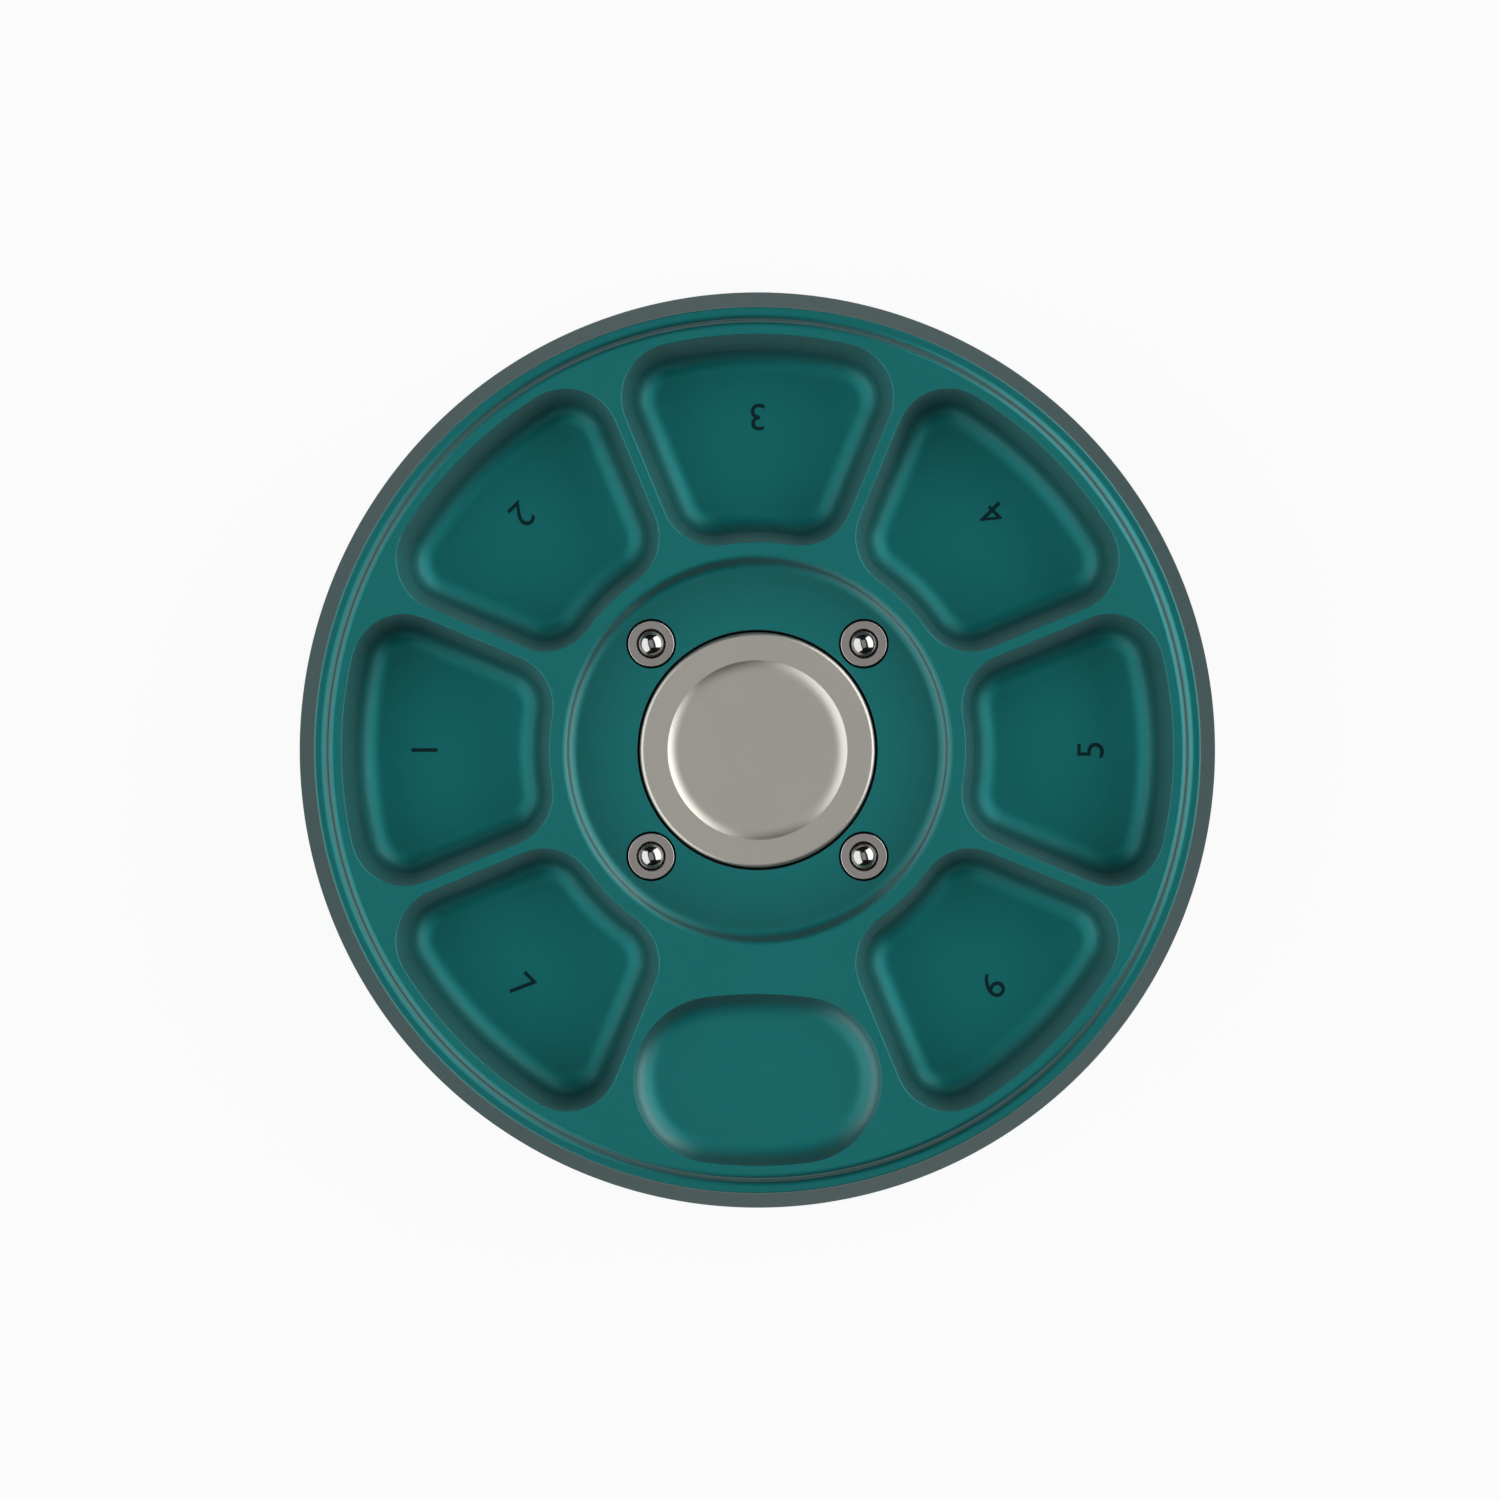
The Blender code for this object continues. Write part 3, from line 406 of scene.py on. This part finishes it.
class Nodes:
    """A small hand for wiring a material's nodes."""

    def __init__(self, name):
        self.material = bpy.data.materials.new(name)
        self.material.use_nodes = True
        self.tree = self.material.node_tree
        self.shader = self.tree.nodes["Principled BSDF"]
        self.place = self.add("ShaderNodeTexCoord").outputs["Object"]

    def add(self, kind, links=(), **values):
        """Adds a node, sets its values and feeds its sockets."""
        node = self.tree.nodes.new(kind)
        for name, value in values.items():
            setattr(node, name, value)
        for socket, source in dict(links).items():
            self.feed(node.inputs[socket], source)
        return node

    def feed(self, socket, source):
        """Links a socket to another one, or sets it to a value."""
        if isinstance(source, bpy.types.NodeSocket):
            self.tree.links.new(source, socket)
        else:
            socket.default_value = source

    def noise(self, scale, detail, roughness):
        """A noise pattern over the piece."""
        sockets = {"Vector": self.place, "Scale": scale, "Detail": detail, "Roughness": roughness}
        return self.add("ShaderNodeTexNoise", sockets).outputs["Fac"]

    def spread(self, pattern, low=0.0, high=1.0):
        """A noise pattern's middle part, spread from low to high."""
        sockets = {"Value": pattern, "From Min": NOISE_LOW, "From Max": NOISE_HIGH, "To Min": low, "To Max": high}
        return self.add("ShaderNodeMapRange", sockets).outputs["Result"]

    def stray(self, pattern, middle, reach):
        """A value that strays from the middle by reach either way, as a noise pattern does."""
        return self.spread(pattern, middle - reach, middle + reach)

    def by_slope(self, flat, steep, slopes):
        """One value where the surface is flat or nearly so, blended to another where it is steep."""
        facing = self.add("ShaderNodeTexCoord").outputs["Normal"]
        upright = self.add("ShaderNodeSeparateXYZ", {"Vector": facing}).outputs["Z"]
        sockets = {"Value": upright, "From Min": slopes[0], "From Max": slopes[1], "To Min": flat, "To Max": steep}
        return self.add("ShaderNodeMapRange", sockets).outputs["Result"]

    def by_reach(self, start, peak, end):
        """Rises from 0 at start to 1 at peak and falls back to 0 at end, by the distance from the axis."""
        flat = self.add("ShaderNodeVectorMath", {0: self.place, 1: (1, 1, 0)}, operation="MULTIPLY")
        reach = self.add("ShaderNodeVectorMath", {0: flat.outputs["Vector"]}, operation="LENGTH").outputs["Value"]
        rise = self.add("ShaderNodeMapRange", {"Value": reach, "From Min": start, "From Max": peak}).outputs["Result"]
        fall = self.add("ShaderNodeMapRange", {"Value": reach, "From Min": end, "From Max": peak}).outputs["Result"]
        return self.add("ShaderNodeMath", {0: rise, 1: fall}, operation="MULTIPLY").outputs["Value"]

    def blend(self, share, first, second):
        """A colour between two, of which the first may come from another node."""
        first = first if isinstance(first, bpy.types.NodeSocket) else (*first, 1)
        sockets = {"Factor": share, MIX_FIRST: first, MIX_SECOND: (*second, 1)}
        return self.add("ShaderNodeMix", sockets, data_type="RGBA").outputs[MIX_RESULT]

    def bump(self, height, strength, distance):
        """A relief for the shader's normal."""
        sockets = {"Height": height, "Strength": strength, "Distance": distance}
        return self.add("ShaderNodeBump", sockets).outputs["Normal"]

    def finish(self, **sockets):
        """Feeds the shader's sockets by name and gives the material."""
        for name, source in sockets.items():
            self.feed(self.shader.inputs[name.replace("_", " ")], source)
        return self.material


def make_teal(name, tone, roughness, grazing, skin=None, skin_roughness=SKIN_ROUGHNESS, steep=None, recess_painted_shade=None):
    """Bead-blasted aluminium, anodised teal, with a frosted grain.

    skin is how much of a clear skin it has where it is level and where it is steep.
    """
    nodes = Nodes(name)
    cloud = nodes.noise(*TEAL_CLOUD)
    grain = nodes.noise(*TEAL_GRAIN)
    speck = nodes.noise(*TEAL_SPECK)
    deeper = [level * CLOUD_SHADE for level in tone]
    colour = nodes.blend(nodes.spread(cloud), deeper, tone)
    # Steep faces blend to a greyer, darker tone: painted reflection and shade
    if steep:
        colour = nodes.blend(nodes.by_slope(0.0, 1.0, PAINTED_REFLECTION_SLOPES), colour, steep)
    # Painted shade on the recess floor towards its wall
    if recess_painted_shade:
        colour = nodes.blend(nodes.by_reach(*RECESS_PAINTED_SHADE_REACH), colour, recess_painted_shade)
    if skin:
        coat = nodes.by_slope(*skin, SKIN_SLOPES)
        nodes.finish(Coat_Weight=coat, Coat_Roughness=skin_roughness, Coat_IOR=SKIN_IOR)
    return nodes.finish(
        Base_Color=colour, Metallic=1.0, Roughness=nodes.stray(speck, roughness, TEAL_STRAY),
        Normal=nodes.bump(grain, *TEAL_RELIEF), Specular_Tint=(grazing, grazing, grazing, 1),
        Sheen_Weight=SHEEN_WEIGHT, Sheen_Roughness=SHEEN_ROUGHNESS,
    )


def make_satin(name, colour, shade_colour, roughness):
    """Blasted bare metal."""
    nodes = Nodes(name)
    cloud = nodes.noise(*SATIN_CLOUD)
    grain = nodes.noise(*SATIN_GRAIN)
    return nodes.finish(
        Base_Color=nodes.blend(nodes.spread(cloud), shade_colour, colour), Metallic=1.0,
        Roughness=nodes.stray(grain, roughness, SATIN_STRAY), Normal=nodes.bump(grain, *SATIN_RELIEF),
    )


def make_metal(name, colour, shade_colour, roughness, pattern=METAL_GRAIN, relief=METAL_RELIEF):
    """A plain machined metal with a faint grain."""
    nodes = Nodes(name)
    cloud = nodes.noise(*METAL_CLOUD)
    grain = nodes.noise(*pattern)
    return nodes.finish(
        Base_Color=nodes.blend(nodes.spread(cloud), shade_colour, colour), Metallic=1.0,
        Roughness=nodes.stray(grain, roughness, roughness * METAL_STRAY), Normal=nodes.bump(grain, *relief),
    )


def make_paint(name, colour, shade_colour, roughness, gloss=0.5):
    """A matt coating, rubber or ink with a fine tooth."""
    nodes = Nodes(name)
    tooth = nodes.noise(*PAINT_TOOTH)
    return nodes.finish(
        Base_Color=nodes.blend(nodes.spread(tooth), shade_colour, colour), Metallic=0.0,
        Roughness=nodes.stray(tooth, roughness, PAINT_STRAY), Normal=nodes.bump(tooth, *PAINT_RELIEF),
        Specular_IOR_Level=gloss,
    )


# The top finish also has painted shade on its recess floor towards the wall
# The top finish has painted grey reflection and shade on its steep faces
teal_top = make_teal(
    "teal_top", TEAL, roughness=0.60, grazing=0.5, skin=(0.12, 0.8), steep=TEAL_STEEP_PAINTED_REFLECTION, recess_painted_shade=TEAL_RECESS_PAINTED_SHADE
)
# The compartments get a lighter copy of the teal, painted light
teal_pocket_painted_light = make_teal("teal_pocket_painted_light", TEAL_POCKET_PAINTED_LIGHT, roughness=0.60, grazing=0.05, skin=(0.05, 0.9))
# The step's steep band has painted shade and grey reflection
teal_step = make_teal(
    "teal_step", TEAL, roughness=0.52, grazing=0.1, skin=(0.12, 0.50), skin_roughness=0.28, steep=TEAL_STEP_PAINTED_SHADE
)
# The outer wall has a greyer, darker copy of the teal, painted reflection and shade
teal_wall_painted_shade = make_teal("teal_wall_painted_shade", TEAL_WALL_PAINTED_SHADE, roughness=0.35, grazing=0.125)
# The holes round the plungers get a near-black teal, painted shade
teal_hole_painted_shade = make_teal("teal_hole_painted_shade", TEAL_HOLE_PAINTED_SHADE, roughness=0.60, grazing=0.1)
satin = make_satin("satin_hub", (0.608, 0.583, 0.533), (0.588, 0.563, 0.515), roughness=0.425)
ball_steel = make_metal(
    "ball_steel", (0.50, 0.495, 0.485), (0.46, 0.455, 0.445), roughness=0.13, pattern=BALL_GRAIN, relief=BALL_RELIEF
)
collar_steel = make_metal("collar_steel", (0.53, 0.495, 0.475), (0.50, 0.465, 0.445), roughness=0.26)
ground_steel = make_metal("ground_steel", (0.55, 0.55, 0.56), (0.48, 0.48, 0.49), roughness=0.25)
spring_steel = make_metal("spring_steel", (0.34, 0.34, 0.35), (0.28, 0.28, 0.29), roughness=0.3)
bronze = make_metal("bronze", (0.45, 0.27, 0.12), (0.38, 0.22, 0.095), roughness=0.38)
dark_base = make_paint("dark_base", (0.032, 0.038, 0.040), (0.026, 0.031, 0.033), roughness=0.5)
rubber = make_paint("rubber", (0.020, 0.020, 0.021), (0.014, 0.014, 0.015), roughness=0.78)
marking = make_paint("marking", (0.0032, 0.030, 0.034), (0.0026, 0.025, 0.029), roughness=0.6, gloss=0.1)


def tray_section():
    """Half section of the tray's round form."""
    section = step_down(PLATEAU_RADIUS, PLATEAU, PLATEAU - LEDGE, LEDGE_TOP_ROUND, LEDGE_FOOT_ROUND, 1)
    shoulder = (TRAY_EDGE_RADIUS - TRAY_EDGE_ROUND, LEDGE - TRAY_EDGE_ROUND)
    wall_lean = math.atan2(TRAY_BOTTOM_RADIUS - TRAY_EDGE_RADIUS, LEDGE - SKIRT_BOTTOM)
    section += arc(shoulder, TRAY_EDGE_ROUND, UPRIGHT, wall_lean, TRAY_EDGE_STEPS)
    section += [
        (TRAY_BOTTOM_RADIUS, SKIRT_BOTTOM),
        (CAVITY_RADIUS, SKIRT_BOTTOM),
        (CAVITY_RADIUS, TRAY_UNDERSIDE),
        (RACE_OUTSIDE, TRAY_UNDERSIDE),
        (RACE_OUTSIDE, RACE_SEAT),
        (RACE_INSIDE, RACE_SEAT),
        (RACE_INSIDE, HUB_UNDERSIDE),
        (BUSH_HOLE, HUB_UNDERSIDE),
        (BUSH_HOLE, HUB_WELL_FLOOR),
        (HUB_WELL_RADIUS, HUB_WELL_FLOOR),
        (HUB_WELL_RADIUS, RECESS_FLOOR),
    ]
    recess = step_down(RECESS_RADIUS, PLATEAU, PLATEAU - RECESS_FLOOR, RECESS_TOP_ROUND, RECESS_FOOT_ROUND, -1)
    return section + recess[::-1]


def compartment_outline(inset):
    """The rounded sector of the compartment that lies towards +Y, moved in by inset."""
    half_angle = PLACE_ANGLE / 2
    corner = COMPARTMENT_CORNER_RADIUS
    side = COMPARTMENT_RIB_WIDTH / 2 + corner
    outer_reach = COMPARTMENT_OUTER_RADIUS - corner
    inner_reach = COMPARTMENT_INNER_RADIUS + corner
    outer_turn = UPRIGHT - half_angle + math.asin(side / outer_reach)
    inner_turn = UPRIGHT - half_angle + math.asin(side / inner_reach)
    outer_corner = (outer_reach * math.cos(outer_turn), outer_reach * math.sin(outer_turn))
    inner_corner = (inner_reach * math.cos(inner_turn), inner_reach * math.sin(inner_turn))
    half = arc((0, 0), COMPARTMENT_OUTER_RADIUS - inset, UPRIGHT, outer_turn, OUTER_WALL_STEPS)[:-1]
    half += arc(outer_corner, corner - inset, outer_turn, -half_angle, OUTER_CORNER_STEPS)
    half += arc(inner_corner, corner - inset, -half_angle, inner_turn - math.pi, INNER_CORNER_STEPS)
    half += arc((0, 0), COMPARTMENT_INNER_RADIUS + inset, inner_turn, UPRIGHT, INNER_WALL_STEPS)[1:]
    mirrored = [(-x, y) for x, y in half[-2:0:-1]]
    return half + mirrored


def compartment_course():
    """Down the softened rim, the drafted wall and the round foot, to the flat floor."""
    course = soft_rim(COMPARTMENT_RIM_ROUND, UPRIGHT - COMPARTMENT_DRAFT, COMPARTMENT_RIM_STEPS)
    depth = PLATEAU - COMPARTMENT_FLOOR
    foot = COMPARTMENT_FLOOR_ROUND
    wall_foot = depth - foot * (1 - math.sin(COMPARTMENT_DRAFT))
    centre_inset = wall_foot * math.tan(COMPARTMENT_DRAFT) + foot * math.cos(COMPARTMENT_DRAFT)
    for across, down in arc((0, 0), 1, COMPARTMENT_DRAFT, UPRIGHT, COMPARTMENT_FLOOR_STEPS):
        course.append((centre_inset - foot * across, depth - foot * (1 - down)))
    return course


def dish_outline(inset):
    """An oval of four arcs round the dish's own centre, moved in by inset."""
    half_length = DISH_LENGTH / 2
    half_width = DISH_WIDTH / 2
    end_radius = half_width * DISH_END_ROUND_SHARE
    end_reach = half_length - end_radius
    side_radius = (end_reach**2 + half_width**2 - end_radius**2) / (2 * (half_width - end_radius))
    side_reach = side_radius - half_width
    joint = math.atan2(side_reach, end_reach)
    right = arc((end_reach, 0), end_radius - inset, -joint, joint, DISH_END_STEPS)
    top = arc((0, -side_reach), side_radius - inset, joint, math.pi - joint, DISH_SIDE_STEPS)
    half = right + top[1:-1]
    return half + [(-x, -y) for x, y in half]


def dish_course():
    """Down the dish's crisp rim and its hollow blend, to the flat floor."""
    course = soft_rim(DISH_RIM_ROUND, DISH_EDGE_SLOPE, DISH_RIM_STEPS)
    reach = DISH_BLEND_RADIUS * math.sin(DISH_EDGE_SLOPE)
    for across, down in arc((0, 0), DISH_BLEND_RADIUS, DISH_EDGE_SLOPE, 0, DISH_BLEND_STEPS)[1:]:
        course.append((reach - down, across - DISH_BLEND_RADIUS * math.cos(DISH_EDGE_SLOPE)))
    return course


def plunger_places():
    """Where the four ball plungers stand, as (x, y)."""
    return arc((0, 0), PLUNGER_CIRCLE_RADIUS, PLACE_ANGLE, PLACE_ANGLE + math.tau, PLUNGER_COUNT)[:-1]


def tray_finish(spot):
    """Which finish a spot of the tray has; the hole round a plunger gets the near-black teal of painted shade."""
    reach = spot.xy.length
    place = round(math.atan2(spot.x, spot.y) / PLACE_ANGLE) % PLACE_COUNT
    if reach > TRAY_EDGE_RADIUS - WELD:
        return WALL
    if reach > PLATEAU_RADIUS - WELD:
        return STEP
    # The hole round each plunger gets the near-black teal: painted shade
    if abs(reach - PLUNGER_CIRCLE_RADIUS) < PLUNGER_HOLE_RADIUS + WELD and spot.z < RECESS_FLOOR - WELD:
        return HOLE_PAINTED_SHADE
    in_ring = COMPARTMENT_INNER_RADIUS < reach < COMPARTMENT_OUTER_RADIUS
    in_depth = COMPARTMENT_FLOOR - WELD < spot.z < PLATEAU - WELD
    return POCKET if in_ring and in_depth and place != DISH_PLACE else TOP


def make_tray():
    """The teal body: spun, then cut with its compartments, its dish and its plunger holes."""
    tray = add_piece("tray_body", break_edges(spun(tray_section(), TRAY_SEGMENTS, closed=True)))
    cutters = []
    for place in range(PLACE_COUNT):
        if place == DISH_PLACE:
            continue
        course = compartment_course()
        plug = sunk_plug(compartment_outline(course[0][0]), PLATEAU, course)
        turned = Matrix.Rotation(-place * PLACE_ANGLE, 4, "Z")
        cutters.append(add_piece(f"compartment_plug_{place}", plug, turned))
    course = dish_course()
    plug = sunk_plug(dish_outline(course[0][0]), PLATEAU, course)
    cutters.append(add_piece("dish_plug", plug, Matrix.Translation((0, -DISH_CENTRE_RADIUS, 0))))
    hole = [
        (0, RECESS_FLOOR + CUT_OVERRUN),
        (PLUNGER_HOLE_RADIUS, RECESS_FLOOR + CUT_OVERRUN),
        (PLUNGER_HOLE_RADIUS, PLUNGER_COLLAR_SEAT),
        (PLUNGER_BODY_HOLE_RADIUS, PLUNGER_COLLAR_SEAT),
        (PLUNGER_BODY_HOLE_RADIUS, PLUNGER_HOLE_FLOOR),
        (0, PLUNGER_HOLE_FLOOR),
    ]
    for index, (x, y) in enumerate(plunger_places(), start=1):
        drill = spun(hole, PLUNGER_HOLE_SEGMENTS)
        cutters.append(add_piece(f"plunger_drill_{index}", drill, Matrix.Translation((x, y, 0))))
    cut(tray, cutters)
    shade(tray)
    dress(tray, teal_top, "turntable", "teal_anodised", "tray")
    for finish in (teal_pocket_painted_light, teal_step, teal_wall_painted_shade, teal_hole_painted_shade):
        tray.data.materials.append(finish)
    for face in tray.data.polygons:
        face.material_index = tray_finish(face.center)


def make_hub_cap():
    """The round cap with a shallow dish in its face."""
    blend_run = CAP_DISH_BLEND_RADIUS * math.sin(CAP_DISH_SLOPE)
    dish_floor = CAP_TOP - CAP_DISH_BLEND_RADIUS * (1 - math.cos(CAP_DISH_SLOPE))
    blend_centre = (CAP_DISH_RADIUS - blend_run, dish_floor + CAP_DISH_BLEND_RADIUS)
    blend = arc(blend_centre, CAP_DISH_BLEND_RADIUS, -UPRIGHT, CAP_DISH_SLOPE - UPRIGHT, CAP_DISH_BLEND_STEPS)
    rim = soft_rim(CAP_DISH_RIM_ROUND, CAP_DISH_SLOPE, CAP_DISH_RIM_STEPS)
    section = [(0, dish_floor)] + blend[:-1]
    section += [(CAP_DISH_RADIUS - inset, CAP_TOP - drop) for inset, drop in reversed(rim)]
    edge_centre = (CAP_RADIUS - CAP_EDGE_ROUND, CAP_TOP - CAP_EDGE_ROUND)
    section += arc(edge_centre, CAP_EDGE_ROUND, UPRIGHT, 0, CAP_EDGE_STEPS)
    section += [
        (CAP_RADIUS, CAP_BOTTOM),
        (CAP_SOCKET_RADIUS, CAP_BOTTOM),
        (CAP_SOCKET_RADIUS, CAP_SOCKET_TOP),
        (0, CAP_SOCKET_TOP),
    ]
    cap = add_piece("hub_cap_body", break_edges(spun(section, CAP_SEGMENTS)))
    shade(cap)
    dress(cap, satin, "base", "satin_hub", "hub_cap")


def sleeve_section():
    """Half section of a plunger's shell, its face at height zero."""
    spring_floor = PLUNGER_FLOOR_THICKNESS - PLUNGER_LENGTH
    outer_round = (PLUNGER_COLLAR_RADIUS - PLUNGER_COLLAR_ROUND, -PLUNGER_COLLAR_ROUND)
    section = [(0, spring_floor), (PLUNGER_BORE_RADIUS, spring_floor)] + PLUNGER_LIP
    section += arc(outer_round, PLUNGER_COLLAR_ROUND, UPRIGHT, 0, PLUNGER_COLLAR_STEPS)
    return section + [
        (PLUNGER_COLLAR_RADIUS, -PLUNGER_COLLAR_HEIGHT),
        (PLUNGER_BODY_RADIUS, -PLUNGER_COLLAR_HEIGHT),
        (PLUNGER_BODY_RADIUS, -PLUNGER_LENGTH),
        (0, -PLUNGER_LENGTH),
    ]


def make_plungers():
    """The four collared sleeves and their polished balls."""
    for index, (x, y) in enumerate(plunger_places(), start=1):
        place = Matrix.Translation((x, y, RECESS_FLOOR))
        sleeve = add_piece(f"plunger_sleeve_body_{index}", spun(sleeve_section(), PLUNGER_SEGMENTS), place)
        shade(sleeve)
        dress(sleeve, collar_steel, "turntable", "bright_steel", f"plunger_sleeve_{index}")
        low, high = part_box(f"plunger_ball_{index}")
        shape = bmesh.new()
        bmesh.ops.create_uvsphere(
            shape, u_segments=BALL_SEGMENTS, v_segments=BALL_RINGS, radius=(high.z - low.z) / 2
        )
        ball = add_piece(f"plunger_ball_body_{index}", shape, Matrix.Translation((low + high) / 2))
        ball.data.shade_smooth()
        dress(ball, ball_steel, f"detent_{index}", "bright_steel", f"plunger_ball_{index}")


def make_springs():
    """The coil under each ball."""
    climb = (SPRING_HIGH_TURN - SPRING_LOW_TURN) / SPRING_STEPS
    start = Matrix.Translation((SPRING_COIL_RADIUS, 0, SPRING_LOW_TURN)) @ Matrix.Rotation(UPRIGHT, 4, "X")
    for index, (x, y) in enumerate(plunger_places(), start=1):
        shape = bmesh.new()
        bmesh.ops.create_circle(shape, segments=SPRING_WIRE_SEGMENTS, radius=SPRING_WIRE_RADIUS, matrix=start)
        bmesh.ops.spin(
            shape, geom=shape.verts[:] + shape.edges[:], axis=(0, 0, 1), cent=(0, 0, 0), dvec=(0, 0, climb),
            angle=math.tau * SPRING_TURNS, steps=SPRING_STEPS,
        )
        bmesh.ops.holes_fill(shape, edges=[edge for edge in shape.edges if edge.is_boundary])
        bmesh.ops.recalc_face_normals(shape, faces=shape.faces)
        spring = add_piece(f"plunger_spring_coil_{index}", shape, Matrix.Translation((x, y, 0)))
        shade(spring)
        dress(spring, spring_steel, "turntable", "spring_steel", f"plunger_spring_{index}")
        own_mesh(spring)


def make_numbers():
    """A plain number on each compartment's floor, with its foot towards the rim."""
    for place, number in enumerate(NUMBERS):
        if number is None:
            continue
        text = bpy.data.curves.new(f"number_{number}", "FONT")
        text.body = number
        text.align_x = "CENTER"
        text.size = NUMBER_HEIGHT / FONT_HEIGHT_SHARE
        text.extrude = NUMBER_THICKNESS / 2
        text.resolution_u = NUMBER_CURVE_STEPS
        source = bpy.data.objects.new("number_source", text)
        bpy.context.scene.collection.objects.link(source)
        bpy.context.view_layer.update()
        mesh = bpy.data.meshes.new_from_object(source.evaluated_get(bpy.context.evaluated_depsgraph_get()))
        bpy.data.objects.remove(source)
        shape = bmesh.new()
        shape.from_mesh(mesh)
        bpy.data.meshes.remove(mesh)
        bmesh.ops.remove_doubles(shape, verts=shape.verts, dist=WELD)
        lift = Matrix.Translation((0, -NUMBER_BASELINE_RADIUS, COMPARTMENT_FLOOR + NUMBER_THICKNESS / 4))
        turned = Matrix.Rotation(math.pi - place * PLACE_ANGLE, 4, "Z")
        piece = add_piece(f"number_mark_{number}", shape, turned @ lift)
        dress(piece, marking, "turntable", "dark_base")


def finish_frame():
    """Gives the nodes that stay their finishes."""
    finishes = {
        "foot": rubber,
        "base_plate": dark_base,
        "spindle": ground_steel,
        "retaining_clip": spring_steel,
        "bush": bronze,
        "lower_race": ground_steel,
        "upper_race": ground_steel,
        "ball_cage": bronze,
        "bearing_ball": ball_steel,
    }
    for name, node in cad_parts.items():
        for start, finish in finishes.items():
            if name.startswith(start):
                for slot in node.material_slots:
                    slot.material = finish


def make_floor():
    """A wide, plain, pale floor, near white to the camera and in what metal shows of it."""
    shape = bmesh.new()
    bmesh.ops.create_circle(shape, cap_ends=True, segments=FLOOR_SEGMENTS, radius=FLOOR_RADIUS)
    floor = add_piece("floor", shape)
    nodes = Nodes("floor")
    nodes.finish(Base_Color=(FLOOR_TONE, FLOOR_TONE, FLOOR_TONE, 1), Roughness=1.0, Specular_IOR_Level=0.0)
    path = nodes.add("ShaderNodeLightPath").outputs
    seen = nodes.add("ShaderNodeMath", {0: path["Is Camera Ray"], 1: path["Is Glossy Ray"]}, operation="MAXIMUM")
    seen = nodes.add("ShaderNodeMath", {0: seen.outputs[0], 1: path["Is Transmission Ray"]}, operation="MAXIMUM")
    share = nodes.add("ShaderNodeMath", {0: seen.outputs[0], 1: FLOOR_GLOW_SHARE}, operation="MULTIPLY")
    glow = nodes.add("ShaderNodeEmission", {"Color": (1, 1, 1, 1), "Strength": 1.0})
    sockets = {0: share.outputs[0], 1: nodes.shader.outputs[0], 2: glow.outputs[0]}
    mix = nodes.add("ShaderNodeMixShader", sockets)
    nodes.feed(nodes.tree.nodes["Material Output"].inputs["Surface"], mix.outputs[0])
    floor.data.materials.append(nodes.material)


def add_softbox(name, azimuth, zenith, half_width, half_height, radiance):
    """A large soft light that faces the object from LIGHT_DISTANCE."""
    light = bpy.data.lights.new(name, "AREA")
    light.shape = "RECTANGLE"
    light.size = 2 * LIGHT_DISTANCE * math.tan(half_width)
    light.size_y = 2 * LIGHT_DISTANCE * math.tan(half_height)
    light.energy = math.pi * light.size * light.size_y * radiance
    softbox = bpy.data.objects.new(name, light)
    tilt = Matrix.Rotation(math.pi - azimuth, 4, "Z") @ Matrix.Rotation(zenith, 4, "X")
    softbox.matrix_world = tilt @ Matrix.Translation((0, 0, LIGHT_DISTANCE))
    softbox.visible_camera = False
    bpy.context.scene.collection.objects.link(softbox)


def light_scene():
    """The softboxes and a faint, even sky."""
    for name, (*angles, radiance) in SOFTBOXES.items():
        add_softbox(name, *(math.radians(angle) for angle in angles), radiance)
    world = bpy.data.worlds.new("studio")
    world.use_nodes = True
    background = world.node_tree.nodes["Background"]
    background.inputs["Color"].default_value = (1, 1, 1, 1)
    background.inputs["Strength"].default_value = WORLD_LEVEL
    bpy.context.scene.world = world
    bpy.context.scene.view_settings.view_transform = "Standard"


def make_camera():
    """Straight above, a little to the left of the axis."""
    lens = bpy.data.cameras.new("camera")
    lens.sensor_width = SENSOR_WIDTH
    lens.lens = SENSOR_WIDTH * VIEW_DISTANCE / VIEW_WIDTH
    lens.clip_start = CLIP_START
    lens.clip_end = CLIP_END
    camera = bpy.data.objects.new("camera", lens)
    camera.location = (-VIEW_OFFSET, 0, PLATEAU + VIEW_DISTANCE)
    bpy.context.scene.collection.objects.link(camera)
    bpy.context.scene.camera = camera


make_camera()
light_scene()
make_floor()
make_tray()
make_hub_cap()
make_plungers()
make_springs()
make_numbers()
finish_frame()
